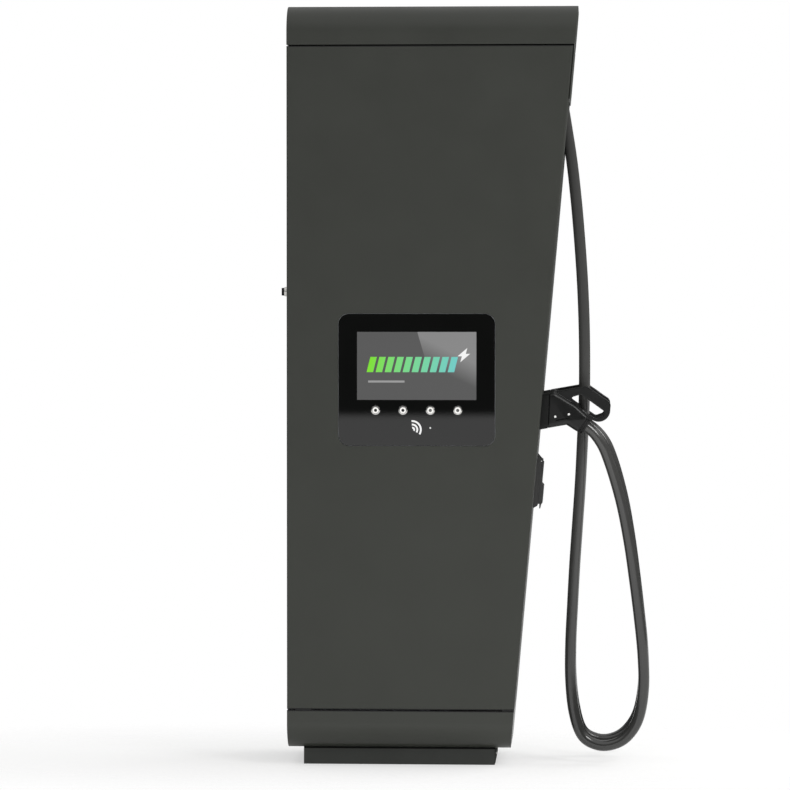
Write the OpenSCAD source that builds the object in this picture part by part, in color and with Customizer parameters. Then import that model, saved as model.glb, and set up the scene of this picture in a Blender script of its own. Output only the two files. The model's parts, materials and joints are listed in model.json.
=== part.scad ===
// Fast-charging post for electric cars: a leaning sheet-metal cabinet with a display,
// two tethered connectors parked in holsters, an AC socket and a rear service door.
// Frame: origin at the centre of the plinth on the floor, +X towards the leaning nose,
// -Y towards the display side, +Z up. Millimetres.

/* [Post] */
// Height of the post above the floor
post_h = 2200; // [2150:10:2400]
// Width across the two wide sides
post_w = 440; // [430:5:520]
// Length of the body at the lower edge of the skirt
foot_len = 647; // [620:1:700]
// Length of the body at the top of the roof cap
top_len = 837; // [780:1:880]
// Distance from the plinth centre to the rear face
rear_reach = 322; // [315:1:345]
// Height of the skirt's lower edge above the floor
foot_gap = 50; // [40:1:70]
// Height of the roof cap and of the skirt
trim_h = 114; // [105:1:140]
// Radius of the long edges of the roof cap and the skirt
edge_r = 80; // [40:1:90]
// Gap between neighbouring covers
seam = 3.5; // [2:0.5:6]
// Thickness of the bodywork sheet
sheet = 3; // [2:0.5:4]
// Outer radius of the panels' folds
fold_r = 5; // [4.5:0.5:8]
// Width of the panels' return flanges
flange_w = 14; // [10:1:18]
// Clearance between a cover and its seat
seat = 0.3; // [0.2:0.1:0.5]

/* [Plinth] */
// Length of the plinth
plinth_len = 556; // [520:1:580]
// Width of the plinth
plinth_w = 300; // [260:1:320]
// Thickness of the plinth's walls
plinth_wall = 5; // [4:1:8]
// Width of the plinth's inner flanges
plinth_flange = 60; // [50:1:80]
// Thickness of the plinth's flanges
plinth_flange_t = 8; // [6:1:12]
// Anchor spacing along the post
anchor_dx = 470; // [440:1:490]
// Anchor spacing across the post
anchor_dy = 220; // [190:1:235]
// Diameter of the anchor holes
anchor_d = 18; // [14:1:22]
// Length of the supply cable entry
entry_len = 240; // [150:1:300]
// Width of the supply cable entry
entry_w = 130; // [80:1:150]

/* [Frame] */
// Thickness of the base plate and the top plate
plate_t = 6; // [4:1:8]
// Outer size of the square posts
tube = 30; // [25:1:40]
// Wall of the square posts
tube_wall = 3; // [2:0.5:4]
// Width of the rear frame's border
border = 30; // [24:1:36]

/* [Display] */
// Width of the glass
glass_w = 451; // [430:1:460]
// Height of the glass
glass_h = 380; // [370:1:400]
// Corner radius of the glass
glass_r = 30; // [10:1:50]
// Thickness of the glass
glass_t = 6; // [4.5:0.5:8]
// How far the glass stands out of its panel
glass_proud = 0.8; // [0:0.1:1.4]
// Centre of the glass along the post
glass_x = 54; // [45:1:65]
// Centre height of the glass
glass_z = 1121.5; // [1100:0.5:1150]
// Gap round the glass
glass_gap = 1.2; // [0.5:0.1:2]
// Width of the visible screen
screen_w = 344; // [300:1:350]
// Height of the visible screen
screen_h = 196; // [160:1:200]
// Height of the screen's centre above the glass centre
screen_up = 40; // [36:1:45]
// Spacing of the four buttons
button_pitch = 79; // [60:1:85]
// Depth of the button row below the glass centre
button_down = 88; // [86:1:95]
// Diameter of a button's moving cap
button_d = 18; // [14:0.5:19]
// Outer diameter of a button's collar
collar_d = 26; // [24:0.5:28]
// Travel of a button
button_travel = 2.5; // [1.5:0.5:4]
// Depth of the card reader below the glass centre
reader_down = 137; // [135:1:145]

/* [Connectors] */
// Distance of each holster from the nearer wide side
dock_in = 85; // [80:1:95]
// Height of the holsters
dock_z = 1031.5; // [1025:0.5:1060]
// Upward tilt of the docking axis
dock_tilt = 10; // [6:1:12]
// Width of the holster bezel
bezel_w = 88; // [82:1:94]
// Height of the holster bezel
bezel_h = 100; // [99:1:104]
// Thickness of the holster bezel at its middle
bezel_t = 21.5; // [18:0.5:25]
// Wedge angle of the bezel's outer face
bezel_wedge = 2.6; // [0:0.1:4]
// Width of the connector's head
head_w = 60; // [54:1:62]
// Height of the connector's head
head_h = 88; // [80:1:90]
// Length of the head inside the holster
head_len = 55; // [45:1:60]
// Clearance round the head in the holster
head_gap = 2; // [1:0.5:2.5]
// Wall of the holster cup
cup_wall = 3; // [2:0.5:4]
// Width of the connector's shell
shell_w = 64; // [60:1:68]
// Height of the connector's shell at the holster
shell_h = 100; // [98:1:104]
// Diameter of the connector's neck at the cable
neck_d = 53; // [50:1:56]
// Diameter of the neck at its root in the shell
neck_root_d = 62; // [58:1:64]
// Width of the loop handle
grip_w = 32; // [26:1:38]
// Diameter of the ribs on the grip
rib_d = 3.2; // [2:0.2:4]
// Spacing of the ribs on the grip
rib_pitch = 5; // [4:0.5:7]
// Diameter of the connector's cable sleeve
sleeve_d = 51; // [46:1:53]
// Length of the connector's cable sleeve
sleeve_len = 16; // [14:1:20]

/* [Cables] */
// Diameter of a charging cable
cable_d = 33; // [28:1:36]
// Distance of each gland from the middle of the nose
gland_y = 70; // [66:1:74]
// Outward tilt of the glands
gland_tilt = 9; // [8:0.5:10]
// Depth of the glands below the roof cap
gland_drop = 145; // [140:1:155]
// Depth of the glands behind the nose's face
gland_in = 23; // [20:1:26]
// Length of a gland
gland_len = 16; // [12:1:20]
// Width of the outlet pocket
pocket_w = 226; // [210:1:240]
// Height of the outlet pocket below the glands
pocket_h = 165; // [150:1:180]
// Depth of the outlet pocket behind the glands
pocket_deep = 42; // [36:1:48]
// Height of the pocket's roof above the glands
pocket_up = 18; // [14:1:22]
// Height of the cable hood
hood_h = 154.5; // [145:0.5:165]
// Thickness of the cable hood
hood_t = 3; // [2:0.5:5]

/* [AC socket] */
// Height of the socket's middle
socket_z = 819; // [800:1:840]
// Width of the socket housing
socket_w = 112; // [104:1:120]
// Height of the socket housing
socket_h = 156; // [150:1:166]
// Thickness of the socket housing
socket_t = 14; // [12:1:16]
// Diameter of the socket's well
well_d = 72; // [68:1:76]
// Depth of the well behind the nose
well_depth = 48; // [40:1:60]
// Thickness of the lid's plate
lid_t = 6.5; // [5:0.5:8]
// Extra thickness of the lid's lower half
lid_step = 6; // [4:0.5:8]
// Width of the lid
lid_w = 92; // [86:1:96]
// Height of the lid without its tab
lid_h = 124; // [118:1:130]
// Diameter of the lid's pin
lid_pin_d = 4; // [3:0.5:5]
// Outer radius of the lid's hinge barrel
barrel_r = 4.5; // [4:0.1:5]

/* [Rear door] */
// Thickness of the door's sheet
door_t = 2; // [1.5:0.5:2.5]
// Depth of the door's rim
door_depth = 20; // [18:1:26]
// Gap round the door
door_gap = 3; // [2.5:0.5:4]
// Width of the louvres
louvre_w = 290; // [200:1:300]
// Spacing of the louvres
louvre_pitch = 22; // [18:1:28]
// Louvres in each of the two fields
louvre_count = 20; // [8:1:21]
// How far the louvres stand out
louvre_out = 5; // [3:0.5:6]
// Thickness of the filter mats
filter_t = 12; // [8:1:14]
// Outer diameter of the hinge knuckles
knuckle_d = 12; // [10:0.5:12]
// Diameter of the hinge pins
hinge_pin_d = 6; // [5:0.5:7]
// Height of one hinge knuckle
knuckle_h = 32; // [24:1:40]
// Distance of the outer hinges from the door's ends
hinge_end = 179.5; // [120:0.5:240]
// Distance of the lower louvres from the door's foot
louvre_low = 89.5; // [60:0.5:120]
// Distance of the upper louvres from the door's head
louvre_high = 69.5; // [60:0.5:120]
// Distance of the lock below the upper louvres
lock_down = 195; // [160:1:220]
// Distance of the lock from the door's free edge
lock_in = 35; // [33:1:40]

/* [Power modules] */
// Length of a power module
module_len = 400; // [340:1:410]
// Height of a power module
module_h = 150; // [120:1:155]
// Spacing of the power modules
module_pitch = 170; // [165:1:172]
// Gap between the module rack and the posts
rack_gap = 4.7; // [3:0.1:8]
// Width of the rack's ledges
ledge = 14; // [10:1:16]
// Thickness of the rack's sheet
rack_t = 2; // [1.5:0.5:2.5]
// Diameter of a module's fan grille
grille_d = 104; // [90:1:120]
// Diameter of a fan grille's hub
hub_d = 36; // [30:1:44]
// Height of a module's handles
handle_h = 100; // [80:1:110]

/* [Switchgear] */
// Distance from the plinth centre to the mounting plate
plate_x = 60; // [40:1:80]
// Width of the mounting plate
plate_w = 320; // [300:1:330]
// Height of the mounting plate
plate_h = 810; // [780:1:840]
// Width of the control unit
control_w = 280; // [240:1:300]
// Height of the control unit
control_h = 180; // [160:1:190]
// Depth of the control unit
control_deep = 70; // [60:1:90]
// Width of a contactor
contactor_w = 90; // [80:1:100]
// Height of a contactor
contactor_h = 120; // [110:1:130]
// Depth of a contactor
contactor_deep = 95; // [80:1:110]
// Spacing of the circuit breakers
breaker_pitch = 23; // [22.5:0.1:24]
// Height of a circuit breaker
breaker_h = 84; // [80:1:88]
// Depth of a circuit breaker
breaker_deep = 60; // [55:1:70]
// Width of the main switch
switch_w = 100; // [90:1:110]
// Height of the main switch
switch_h = 120; // [110:1:130]
// Depth of the main switch
switch_deep = 70; // [60:1:80]
// Diameter of the main switch's knob
knob_d = 44; // [36:1:50]
// Length of the coolant unit
coolant_len = 160; // [140:1:170]
// Width of the coolant unit
coolant_w = 200; // [180:1:220]
// Height of the coolant unit
coolant_h = 240; // [200:1:260]

/* [Fans] */
// Diameter of the fan openings
fan_d = 184; // [160:1:190]
// Depth of a fan's ring
fan_depth = 40; // [34:1:50]
// Spacing of the two fans
fan_pitch = 200; // [198:1:220]
// Depth of the upper fan below the top plate
fan_drop = 119.5; // [110:0.5:140]
// Diameter of a fan's hub
rotor_hub_d = 66; // [60:1:76]

/* [Hidden] */
$fn = 48;
// Overshoot of cuts, and the least overlap of joined forms
cut = 1;
belt_in = 0.2;
half_w = post_w / 2;
rear_x = -rear_reach;
foot_x = rear_x + foot_len;
lean = atan((top_len - foot_len) / (post_h - foot_gap));
reach = 2 * top_len;
run = 2 * post_h;
skirt_z1 = foot_gap + trim_h;
panel_z0 = skirt_z1 + seam;
cap_z0 = post_h - trim_h;
panel_z1 = cap_z0 - seam;
inner_w = half_w - sheet - seat;
base_z1 = skirt_z1;
base_z0 = base_z1 - plate_t;
top_z1 = panel_z1 - 2;
top_z0 = top_z1 - plate_t;
cover_in = 40;
vent_x = 40;
vent_dx = 130;
vent_len = 150;
vent_w = 120;
vent_r = 20;
rib_in = 90;
rib_side = 22;

seal_t = 3;
seal_w = 12;
frame_x = rear_x + door_depth + seal_t;
post_x = frame_x + 19;
door_hw = half_w - flange_w - door_gap;
door_z0 = panel_z0 + door_gap;
door_z1 = panel_z1 - door_gap;
open_hw = inner_w - border;
nose_hw = half_w - flange_w - 2;

glass_y = -half_w - glass_proud;
carrier_t = 3;
carrier_y = glass_y + glass_t;
carrier_back = carrier_y + carrier_t;
carrier_edge = 13;
rim_in = 3;
module_t = 18;
board_in = 40;
board_w = 140;
board_h = 90;
board_t = 6;
button_xs = [for (i = [0:3]) glass_x + (i - 1.5) * button_pitch];
button_z = glass_z - button_down;
barrel_wall = 1.8;
barrel_d = button_d + 2 * barrel_wall;
barrel_gap = 0.4;
collar_t = 2.2;
cap_proud = 0.6;
dimple_d = 6;
nut_t = 4;
reader_w = 96;
reader_h = 52;
reader_t = 10;

dock_y = half_w - dock_in;
face_tilt = dock_tilt + lean - bezel_wedge;
dock_x = nose_x(dock_z) + bezel_t;
bezel_r = 14;
shell_r = 16;
shell_gap = 0.8;
head_low_r = 12;
sleeve_tilt = 42;
sleeve_exit = [100, -66.5];
groove = 2;
neck_tilt = 44.4;
neck_len = 130;
// Side view of the connector's head block, along the docking axis and up
head_outline = [[-20, 50], [27, 50], [62, 14], [62, -30], [46, -50], [-20, -50]];
// Loop handle: bend of its top bar, outer corner and round end; centre along, centre up, radius
loop_bend = [112, 29.5, 21.5];
loop_corner = [161.5, -14.5, 18];
loop_end = [142.5, -24, 34];
// Web of the loop handle between the head, the bend, the round end and the neck
loop_web = [[10, 51], [112, 51], [142.5, -24], [118, -50], [90, -40], [10, 0]];
// Corners of the finger hole: centre along, centre up, radius
finger_hole = [[79.5, 17, 10], [97, 20, 9], [146, -33.5, 11], [134, -35, 11.5]];
rib_count = 7;
rib_in_w = 10;
// Fastener recesses and the latch slot in the shell's side: along, up
recess_places = [[16, -20.5], [56, -20.5]];
recess_d = 8;
latch_slot = [15, -33];
latch_slot_len = 42;
latch_slot_h = 3;
// Contact openings of the head: across, up, diameter
contact_places = [
    [-14, -27, 15], [14, -27, 15], [-9, 26, 7], [9, 26, 7],
    [-16, 12, 9], [0, 12, 9], [16, 12, 9], [-8, -1, 9], [8, -1, 9]];
contact_deep = 30;

gland_z = cap_z0 - gland_drop;
gland_x = nose_x(gland_z) - gland_in;
gland_lip = 1;
gland_wall = 5;
pocket_z0 = gland_z - pocket_h;
pocket_flange = 20;
hood_z = panel_z1 - hood_h;

socket_s = along(socket_z);
hinge_n = 13.5;
hinge_s = socket_s + socket_h / 2 - 16;
well_wall = 4;
insert_d = 52;
pin_circle_r = 17;
pin_d = 8;
signal_d = 5;
lid_tab = 13;
lid_swing_r = 9.5;

hinge_x = rear_x - 6.5;
hinge_y = half_w - flange_w - door_gap / 2;
hinge_zs = [door_z0 + hinge_end, (door_z0 + door_z1) / 2, door_z1 - hinge_end];
leaf_t = 3;
leaf_w = 13;
louvre_field = louvre_count * louvre_pitch;
louvre_zs = [door_z0 + louvre_low, door_z1 - louvre_high - louvre_field];
lock_z = louvre_zs[1] - lock_down;
lock_y = door_hw - lock_in;
louvre_wall = 1.4;
louvre_root = 0.5;
slot_h = 8;
filter_edge = 15;
lock_base_d = 30;
lock_barrel_r = 11;
lock_nut_r = 17;
lock_shaft_r = 5;
lock_out = 10;
cam_x = frame_x + sheet + 3;
cam_len = 40;
cam_t = 4;
cam_r = 9;
cam_w = 12;
cam_foot = 6.5;

rack_x0 = post_x + 10;
rack_w = 2 * (inner_w - tube - rack_gap);
rack_z0 = base_z1;
rack_foot = 20;
rack_top = rack_z0 + rack_foot + 4 + 4 * module_pitch;
rack_len = module_len + 20;
shelf_len = 560;
module_in = 4;
handle_w = 10;
handle_out = 14;
plate_t2 = 2;
plate_foot = 40;
plate_z0 = rack_top + rack_t;
plate_y = 20;
control_up = 60;
contactor_gap = 95;
breaker_gap = 45;
switch_gap = 86;
control_z = plate_z0 + control_up;
contactor_z = control_z + control_h + contactor_gap;
breaker_z = contactor_z + contactor_h + breaker_gap + breaker_h / 2;
breaker_count = 12;
breaker_slit = 0.6;
toggle_out = 8;
rail_h = 35;
rail_t = 8;
switch_z = breaker_z + breaker_h / 2 + switch_gap + switch_h / 2;
switch_y = 110;
switch_shaft_d = 8;
fan_zs = [top_z0 - fan_drop - fan_pitch, top_z0 - fan_drop];
fan_x = post_x;
fan_wall = 4;
fan_frame = 13;
spider_w = 10;
spider_t = 5;
motor_d = 62;
motor_len = 24;
blade_count = 7;
blade_tilt = 38;
blade_w = 48;
blade_t = 3;

// Charging cable from the gland down to the loop: distance from the nose's face, height
cable_leg = [
    [-23, gland_z], [-4.8, 1870], [23.3, 1755], [46.5, 1640], [66.7, 1525], [84.8, 1410],
    [100, 1295], [112.6, 1175], [122.2, 1055], [127.8, 935], [132.4, 815], [135, 695],
    [137.6, 575], [141.8, 460], [146.5, 350], [155.8, 245], [174.2, 150]];
// Its loop and its rise to the connector: distance from the holster, height
loop_left = [
    [98.5, 82], [140.5, 55], [186.5, 56], [228.5, 80], [261.5, 133], [276.5, 220], [274.5, 320],
    [263.5, 430], [249.5, 540], [233.5, 650], [210.5, 766], [178.5, 875], [150.5, 940]];
loop_right = [
    [96.5, 77], [138.5, 49], [186.5, 49], [230.5, 75], [264.5, 130], [279.5, 218], [277.5, 320],
    [266.5, 430], [253.5, 540], [238.5, 650], [217.5, 766], [187.5, 875], [157.5, 940]];
cable_spread = 1.8;
// Gap between a cable's ends and the pieces that hold them
cable_butt = 0.05;
cable_sides = 10;
cable_rings = 40;

// Shared shapes

// Length of the nose's face at a height, and distance up its slope to that height
function nose_x(z) = foot_x + (z - foot_gap) * tan(lean);
function along(z) = (z - foot_gap) / cos(lean);

// Frame on the nose's face: X outward, Z up the slope
module nose() {
    translate([foot_x, 0, foot_gap]) rotate([0, lean, 0]) children();
}

// Frame of a docked connector: X outward along the docking axis, from the bezel's middle
module dock(side) {
    translate([dock_x, side * dock_y, dock_z]) rotate([0, -dock_tilt, 0]) children();
}

// Everything between two heights
module slab(z0, z1) {
    translate([-reach, -post_w, z0]) cube([2 * reach, 2 * post_w, z1 - z0]);
}

// Turns an outline so that its x and y run along X and Z, extruded across Y about the middle
module across(w) {
    translate([0, w / 2, 0]) rotate([90, 0, 0]) linear_extrude(w) children();
}

// Turns an outline so that its x and y run along Y and Z, extruded along X
module lengthways(len) {
    rotate([90, 0, 90]) linear_extrude(len) children();
}

// Round bar along X
module bar(d, len) {
    rotate([0, 90, 0]) cylinder(d = d, h = len);
}

// Block that starts at x and z and lies about the middle plane, or off it
module block(x, z, size, y = 0) {
    translate([x, y - size.y / 2, z]) cube(size);
}

module round_rect(w, h, r) {
    square([w - 2 * r, h], center = true);
    square([w, h - 2 * r], center = true);
    for (sx = [-1, 1], sy = [-1, 1])
        translate([sx * (w / 2 - r), sy * (h / 2 - r)]) circle(r);
}

// Ends of the outer tangent on the left of the way between two circles; each is [x, y, radius]
function tangent(a, b) =
    let (turn = atan2(b.y - a.y, b.x - a.x) + acos((a.z - b.z) / norm([b.x - a.x, b.y - a.y])))
    [for (c = [a, b]) [c.x + c.z * cos(turn), c.y + c.z * sin(turn)]];

// Circles joined clockwise by straight edges just inside their outer tangents, as a belt round pulleys
module belt(circles) {
    last = len(circles) - 1;
    slim = [for (c = circles) c - [0, 0, belt_in]];
    polygon([for (i = [0:last]) each tangent(slim[i], slim[i == last ? 0 : i + 1])]);
    for (c = circles) translate([c.x, c.y]) circle(c.z);
}

// Body between two heights with folded edges, inset from the outer skin
module body_prism(inset, z0, z1) {
    w = post_w - 2 * inset;
    r = fold_r - inset;
    intersection() {
        translate([rear_x + inset + reach / 2, 0, z0]) linear_extrude(z1 - z0) round_rect(reach, w, r);
        nose() translate([-inset - reach / 2, 0, -run / 2]) linear_extrude(2 * run) round_rect(reach, w, r);
    }
}

// Everything behind the nose's face, moved out by a distance
module behind_nose(out) {
    nose() translate([out - reach, -post_w, -run]) cube([reach, 2 * post_w, 3 * run]);
}

// Base, skirt and frame

module plinth() color([0.20, 0.21, 0.20]) difference() {
    block(-plinth_len / 2, 0, [plinth_len, plinth_w, base_z0]);
    block(-plinth_len / 2 + plinth_wall, plinth_flange_t,
        [plinth_len - 2 * plinth_wall, plinth_w - 2 * plinth_wall, base_z0 - 2 * plinth_flange_t]);
    block(-plinth_len / 2 + plinth_flange, -cut,
        [plinth_len - 2 * plinth_flange, plinth_w - 2 * plinth_flange, base_z0 + 2 * cut]);
    for (sx = [-1, 1], sy = [-1, 1]) translate([sx * anchor_dx / 2, sy * anchor_dy / 2, -cut])
        cylinder(d = anchor_d, h = plinth_flange_t + 2 * cut);
    // Service opening behind the cover
    block(plinth_len / 2 - plinth_wall - cut, plinth_flange_t + plinth_wall,
        [plinth_wall + 2 * cut, plinth_w - 2 * cover_in, foot_gap - plinth_flange_t - 3 * plinth_wall]);
}

module plinth_cover() color([0.20, 0.21, 0.20])
    block(plinth_len / 2, 4, [plinth_wall - 3, plinth_w - 12, foot_gap - 8]);

module base_plate() color([0.55, 0.57, 0.58]) difference() {
    body_prism(sheet + seat, base_z0, base_z1);
    block(-entry_len / 2, base_z0 - cut, [entry_len, entry_w, plate_t + 2 * cut]);
}

// Outline of the skirt, or of the roof cap upside down: rounded edge at y = 0, up to a height
module trim_outline(inset, high) {
    hw = half_w - inset;
    r = edge_r - inset;
    intersection() {
        translate([-hw, inset]) square([2 * hw, high - inset]);
        union() {
            translate([-hw, inset + r]) square([2 * hw, high]);
            translate([-hw + r, inset]) square([2 * (hw - r), r + cut]);
            for (s = [-1, 1]) translate([s * (hw - r), inset + r]) circle(r);
        }
    }
}

module skirt_form(inset, high) intersection() {
    translate([rear_x + inset, 0, foot_gap]) lengthways(reach) trim_outline(inset, high);
    behind_nose(-inset);
}

module skirt() color([0.26, 0.27, 0.25]) difference() {
    skirt_form(0, trim_h);
    skirt_form(sheet, trim_h + cut);
    block(-plinth_len / 2 - seat, 0, [plinth_len + 2 * seat, plinth_w + 2 * seat, skirt_z1]);
}

module post_tube(len) difference() {
    cube([tube, tube, len]);
    translate([tube_wall, tube_wall, -cut])
        cube([tube - 2 * tube_wall, tube - 2 * tube_wall, len + 2 * cut]);
}

module chassis_posts() color([0.55, 0.57, 0.58]) for (y = [-inner_w, inner_w - tube]) {
    translate([post_x, y, base_z1]) post_tube(top_z0 - base_z1);
    intersection() {
        body_prism(sheet + seat, base_z1, top_z0);
        nose() translate([-sheet - seat - tube, y, 0]) post_tube(run);
    }
}

module rear_frame() color([0.55, 0.57, 0.58]) difference() {
    block(frame_x, base_z1, [sheet, 2 * inner_w, top_z0 - base_z1]);
    block(frame_x - cut, base_z1 + border, [sheet + 2 * cut, 2 * open_hw, top_z0 - base_z1 - 2 * border]);
}

module frame_spacers() color([0.55, 0.57, 0.58]) for (s = [-1, 1])
    block(frame_x + sheet, base_z1, [post_x - frame_x - sheet, sheet, top_z0 - base_z1],
        y = s * (inner_w - sheet / 2));

module top_plate() color([0.55, 0.57, 0.58]) difference() {
    body_prism(sheet + seat, top_z0, top_z1);
    block(rear_x - cut, top_z0 - cut, [frame_x - rear_x + cut, 2 * post_w, plate_t + 2 * cut]);
    // Openings for the warm air
    for (s = [-1, 1]) translate([vent_x + s * vent_dx, 0, top_z0 - cut])
        linear_extrude(plate_t + 2 * cut) round_rect(vent_len, vent_w, vent_r);
}

// Outer covers

module roof_form(inset, high) intersection() {
    translate([rear_x + inset, 0, post_h]) mirror([0, 0, 1]) lengthways(reach) trim_outline(inset, high);
    behind_nose(hood_t - inset);
}

module roof_cap() color([0.27, 0.28, 0.27]) {
    difference() {
        roof_form(0, trim_h);
        roof_form(sheet, trim_h + cut);
    }
    // Ribs that stand on the top plate
    for (x = [rear_x + rib_in, nose_x(cap_z0) - rib_in]) intersection() {
        roof_form(sheet / 2, post_h - top_z1);
        block(x, top_z1, [sheet, post_w - 2 * rib_side, trim_h + seam]);
    }
}

// Wide side panel with return flanges, on the -Y or the +Y side
module side_panel(side) intersection() {
    difference() {
        body_prism(0, panel_z0, panel_z1);
        body_prism(sheet, panel_z0 - cut, panel_z1 + cut);
    }
    translate([-reach, side < 0 ? -half_w - cut : half_w - flange_w, panel_z0 - cut])
        cube([2 * reach, flange_w + cut, panel_z1 - panel_z0 + 2 * cut]);
}

// Outline on the display side: x along the post, y up, about the glass centre
module on_display(y, depth) {
    translate([glass_x, y + depth, glass_z]) rotate([90, 0, 0]) linear_extrude(depth) children();
}

// Outline of the glass, grown by an edge
module glass_outline(grow, r = glass_r) {
    round_rect(glass_w + 2 * grow, glass_h + 2 * grow, r);
}

module display_panel() color([0.25, 0.26, 0.25]) difference() {
    side_panel(-1);
    on_display(-half_w - cut, sheet + 2 * cut) glass_outline(glass_gap, glass_r + glass_gap);
}

module plain_panel() color([0.25, 0.26, 0.25]) side_panel(1);

module nose_panel() color([0.25, 0.26, 0.25]) difference() {
    intersection() {
        nose() block(-sheet, 0, [sheet, 2 * nose_hw, run]);
        slab(panel_z0, panel_z1);
    }
    for (s = [-1, 1]) holster_cut(s);
    nose() translate([-sheet - cut, 0, socket_s]) bar(well_d + 10, sheet + 2 * cut);
    intersection() {
        nose() block(-sheet - cut, 0, [sheet + 2 * cut, pocket_w, run]);
        slab(pocket_z0, gland_z + pocket_up + 8);
    }
}

module cable_hood() color([0.26, 0.27, 0.26]) intersection() {
    nose() block(0, 0, [hood_t, post_w, run]);
    slab(hood_z, panel_z1);
}

// Cable outlet

// Inside of the outlet pocket in side view
module pocket_outline() {
    roof = gland_z + pocket_up;
    back = gland_x - pocket_deep;
    back_roof = roof - pocket_deep * tan(gland_tilt);
    polygon([
        [nose_x(pocket_z0) + 0.1, pocket_z0], [back, back_roof],
        [nose_x(roof), roof + (nose_x(roof) - gland_x) * tan(gland_tilt)]]);
}

// Frame of a cable gland: Z back along the cable's axis, origin where the cable comes out
module gland_frame(side) {
    translate([gland_x, side * gland_y, gland_z]) rotate([0, -gland_tilt, 0]) children();
}

module outlet_pocket() color([0.12, 0.12, 0.12]) {
    w = pocket_w - 2 * seat;
    intersection() {
        difference() {
            across(w) pocket_outline();
            translate([sheet, 0, 0]) across(w - 2 * sheet) pocket_outline();
            for (s = [-1, 1]) gland_frame(s) cylinder(d = cable_d + 2, h = 3 * gland_len);
        }
        behind_nose(-sheet);
    }
    // Flanges behind the nose panel
    for (s = [-1, 1]) intersection() {
        nose() block(-2 * sheet - seat, 0, [sheet, pocket_flange, run], y = s * (pocket_w / 2 + 4));
        slab(pocket_z0 + pocket_flange, gland_z);
    }
}

module gland(side) color([0.10, 0.10, 0.10]) gland_frame(side) rotate_extrude() polygon([
    [0, 0], [cable_d / 2 + gland_lip, 0], [cable_d / 2 + gland_wall, gland_len / 2],
    [cable_d / 2 + gland_wall, gland_len - cut], [0, gland_len - cut]]);
module gland_left() gland(-1);
module gland_right() gland(1);

// Cables

function spline(p, i, t) =
    let (a = p[i - 1], b = p[i], c = p[i + 1], d = p[i + 2])
    0.5 * ((2 * b) + (c - a) * t + (2 * a - 5 * b + 4 * c - d) * t * t + (3 * b - a - 3 * c + d) * t * t * t);

// Point at a share of the way along a route whose first and last points only steer it
function route_at(p, share) =
    let (u = 1 + share * (len(p) - 3), i = min(floor(u), len(p) - 3)) spline(p, i, u - i);

function unit(v) = v / norm(v);

// Heading of a cable where it leaves its gland, and of the sleeve where it comes in
gland_way = [sin(gland_tilt), 0, -cos(gland_tilt)];
sleeve_way = [cos(sleeve_tilt - dock_tilt), 0, -sin(sleeve_tilt - dock_tilt)];

// Route of a cable; it spreads from its gland's place to its holster's on the way
function route(side, loop) =
    let (
        line = concat([for (p = cable_leg) [nose_x(p.y) + p.x, p.y]], [for (p = loop) [dock_x + p.x, p.y]]),
        last = len(line) - 1,
        list = [for (i = [0:last]) let (y = gland_y + (dock_y - gland_y) * pow(i / last, cable_spread))
            [line[i].x, side * y, line[i].y] + (i == 0 ? cable_butt : 0) * gland_way])
    concat([list[1] - 140 * gland_way], list,
        [dock_point(side, sleeve_exit) + cable_butt * sleeve_way, list[last] - 130 * sleeve_way]);

function dock_point(side, p) = [
    dock_x + p.x * cos(dock_tilt) - p.y * sin(dock_tilt), side * dock_y,
    dock_z + p.x * sin(dock_tilt) + p.y * cos(dock_tilt)];

// Round tube swept along a route, square to its two given end directions
module swept_tube(p, d, first, last) {
    rings = cable_rings;
    centre = [for (k = [0:rings]) route_at(p, k / rings)];
    heading = [for (k = [0:rings])
        k == 0 ? first : k == rings ? last : unit(centre[k + 1] - centre[k - 1])];
    points = [for (k = [0:rings]) let (u = unit(cross([0, 1, 0], heading[k])), v = cross(heading[k], u))
        for (s = [0:cable_sides - 1])
            let (a = 360 * s / cable_sides) centre[k] + d / 2 * (cos(a) * u + sin(a) * v)];
    function at(k, s) = k * cable_sides + s % cable_sides;
    faces = concat(
        [for (k = [0:rings - 1], s = [0:cable_sides - 1]) [at(k, s), at(k + 1, s), at(k + 1, s + 1)]],
        [for (k = [0:rings - 1], s = [0:cable_sides - 1]) [at(k, s), at(k + 1, s + 1), at(k, s + 1)]],
        [for (s = [1:cable_sides - 2]) [at(0, 0), at(0, s), at(0, s + 1)]],
        [for (s = [1:cable_sides - 2]) [at(rings, 0), at(rings, s + 1), at(rings, s)]]);
    polyhedron(points, faces);
}

module cable(side, loop) color([0.30, 0.30, 0.30]) swept_tube(route(side, loop), cable_d, gland_way, -sleeve_way);
module cable_left() cable(-1, loop_left);
module cable_right() cable(1, loop_right);

// Connectors and holsters

// Section of the head in end view: round-topped upper half, square-cornered lower half
module head_section(grow) {
    r = head_w / 2 + grow;
    low = head_low_r + grow;
    foot = -head_h / 2 - grow;
    translate([0, head_h / 2 - head_w / 2]) circle(r);
    translate([-r, foot + low]) square([2 * r, head_h - head_w / 2 + grow - low]);
    translate([-r + low, foot]) square([2 * (r - low), low + cut]);
    for (s = [-1, 1]) translate([s * (r - low), foot + low]) circle(low);
}

// Everything outside the bezel's outer face, moved out by a gap
module beyond_bezel(gap) {
    rotate([0, face_tilt, 0]) translate([gap, -post_w, -post_w]) cube(2 * post_w);
}

module holster_cut(side) {
    grow = head_gap + cup_wall + cut;
    dock(side) translate([-bezel_t - head_len, 0, 0]) lengthways(2 * head_len)
        round_rect(head_w + 2 * grow, head_h + 2 * grow, 10);
}

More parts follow.
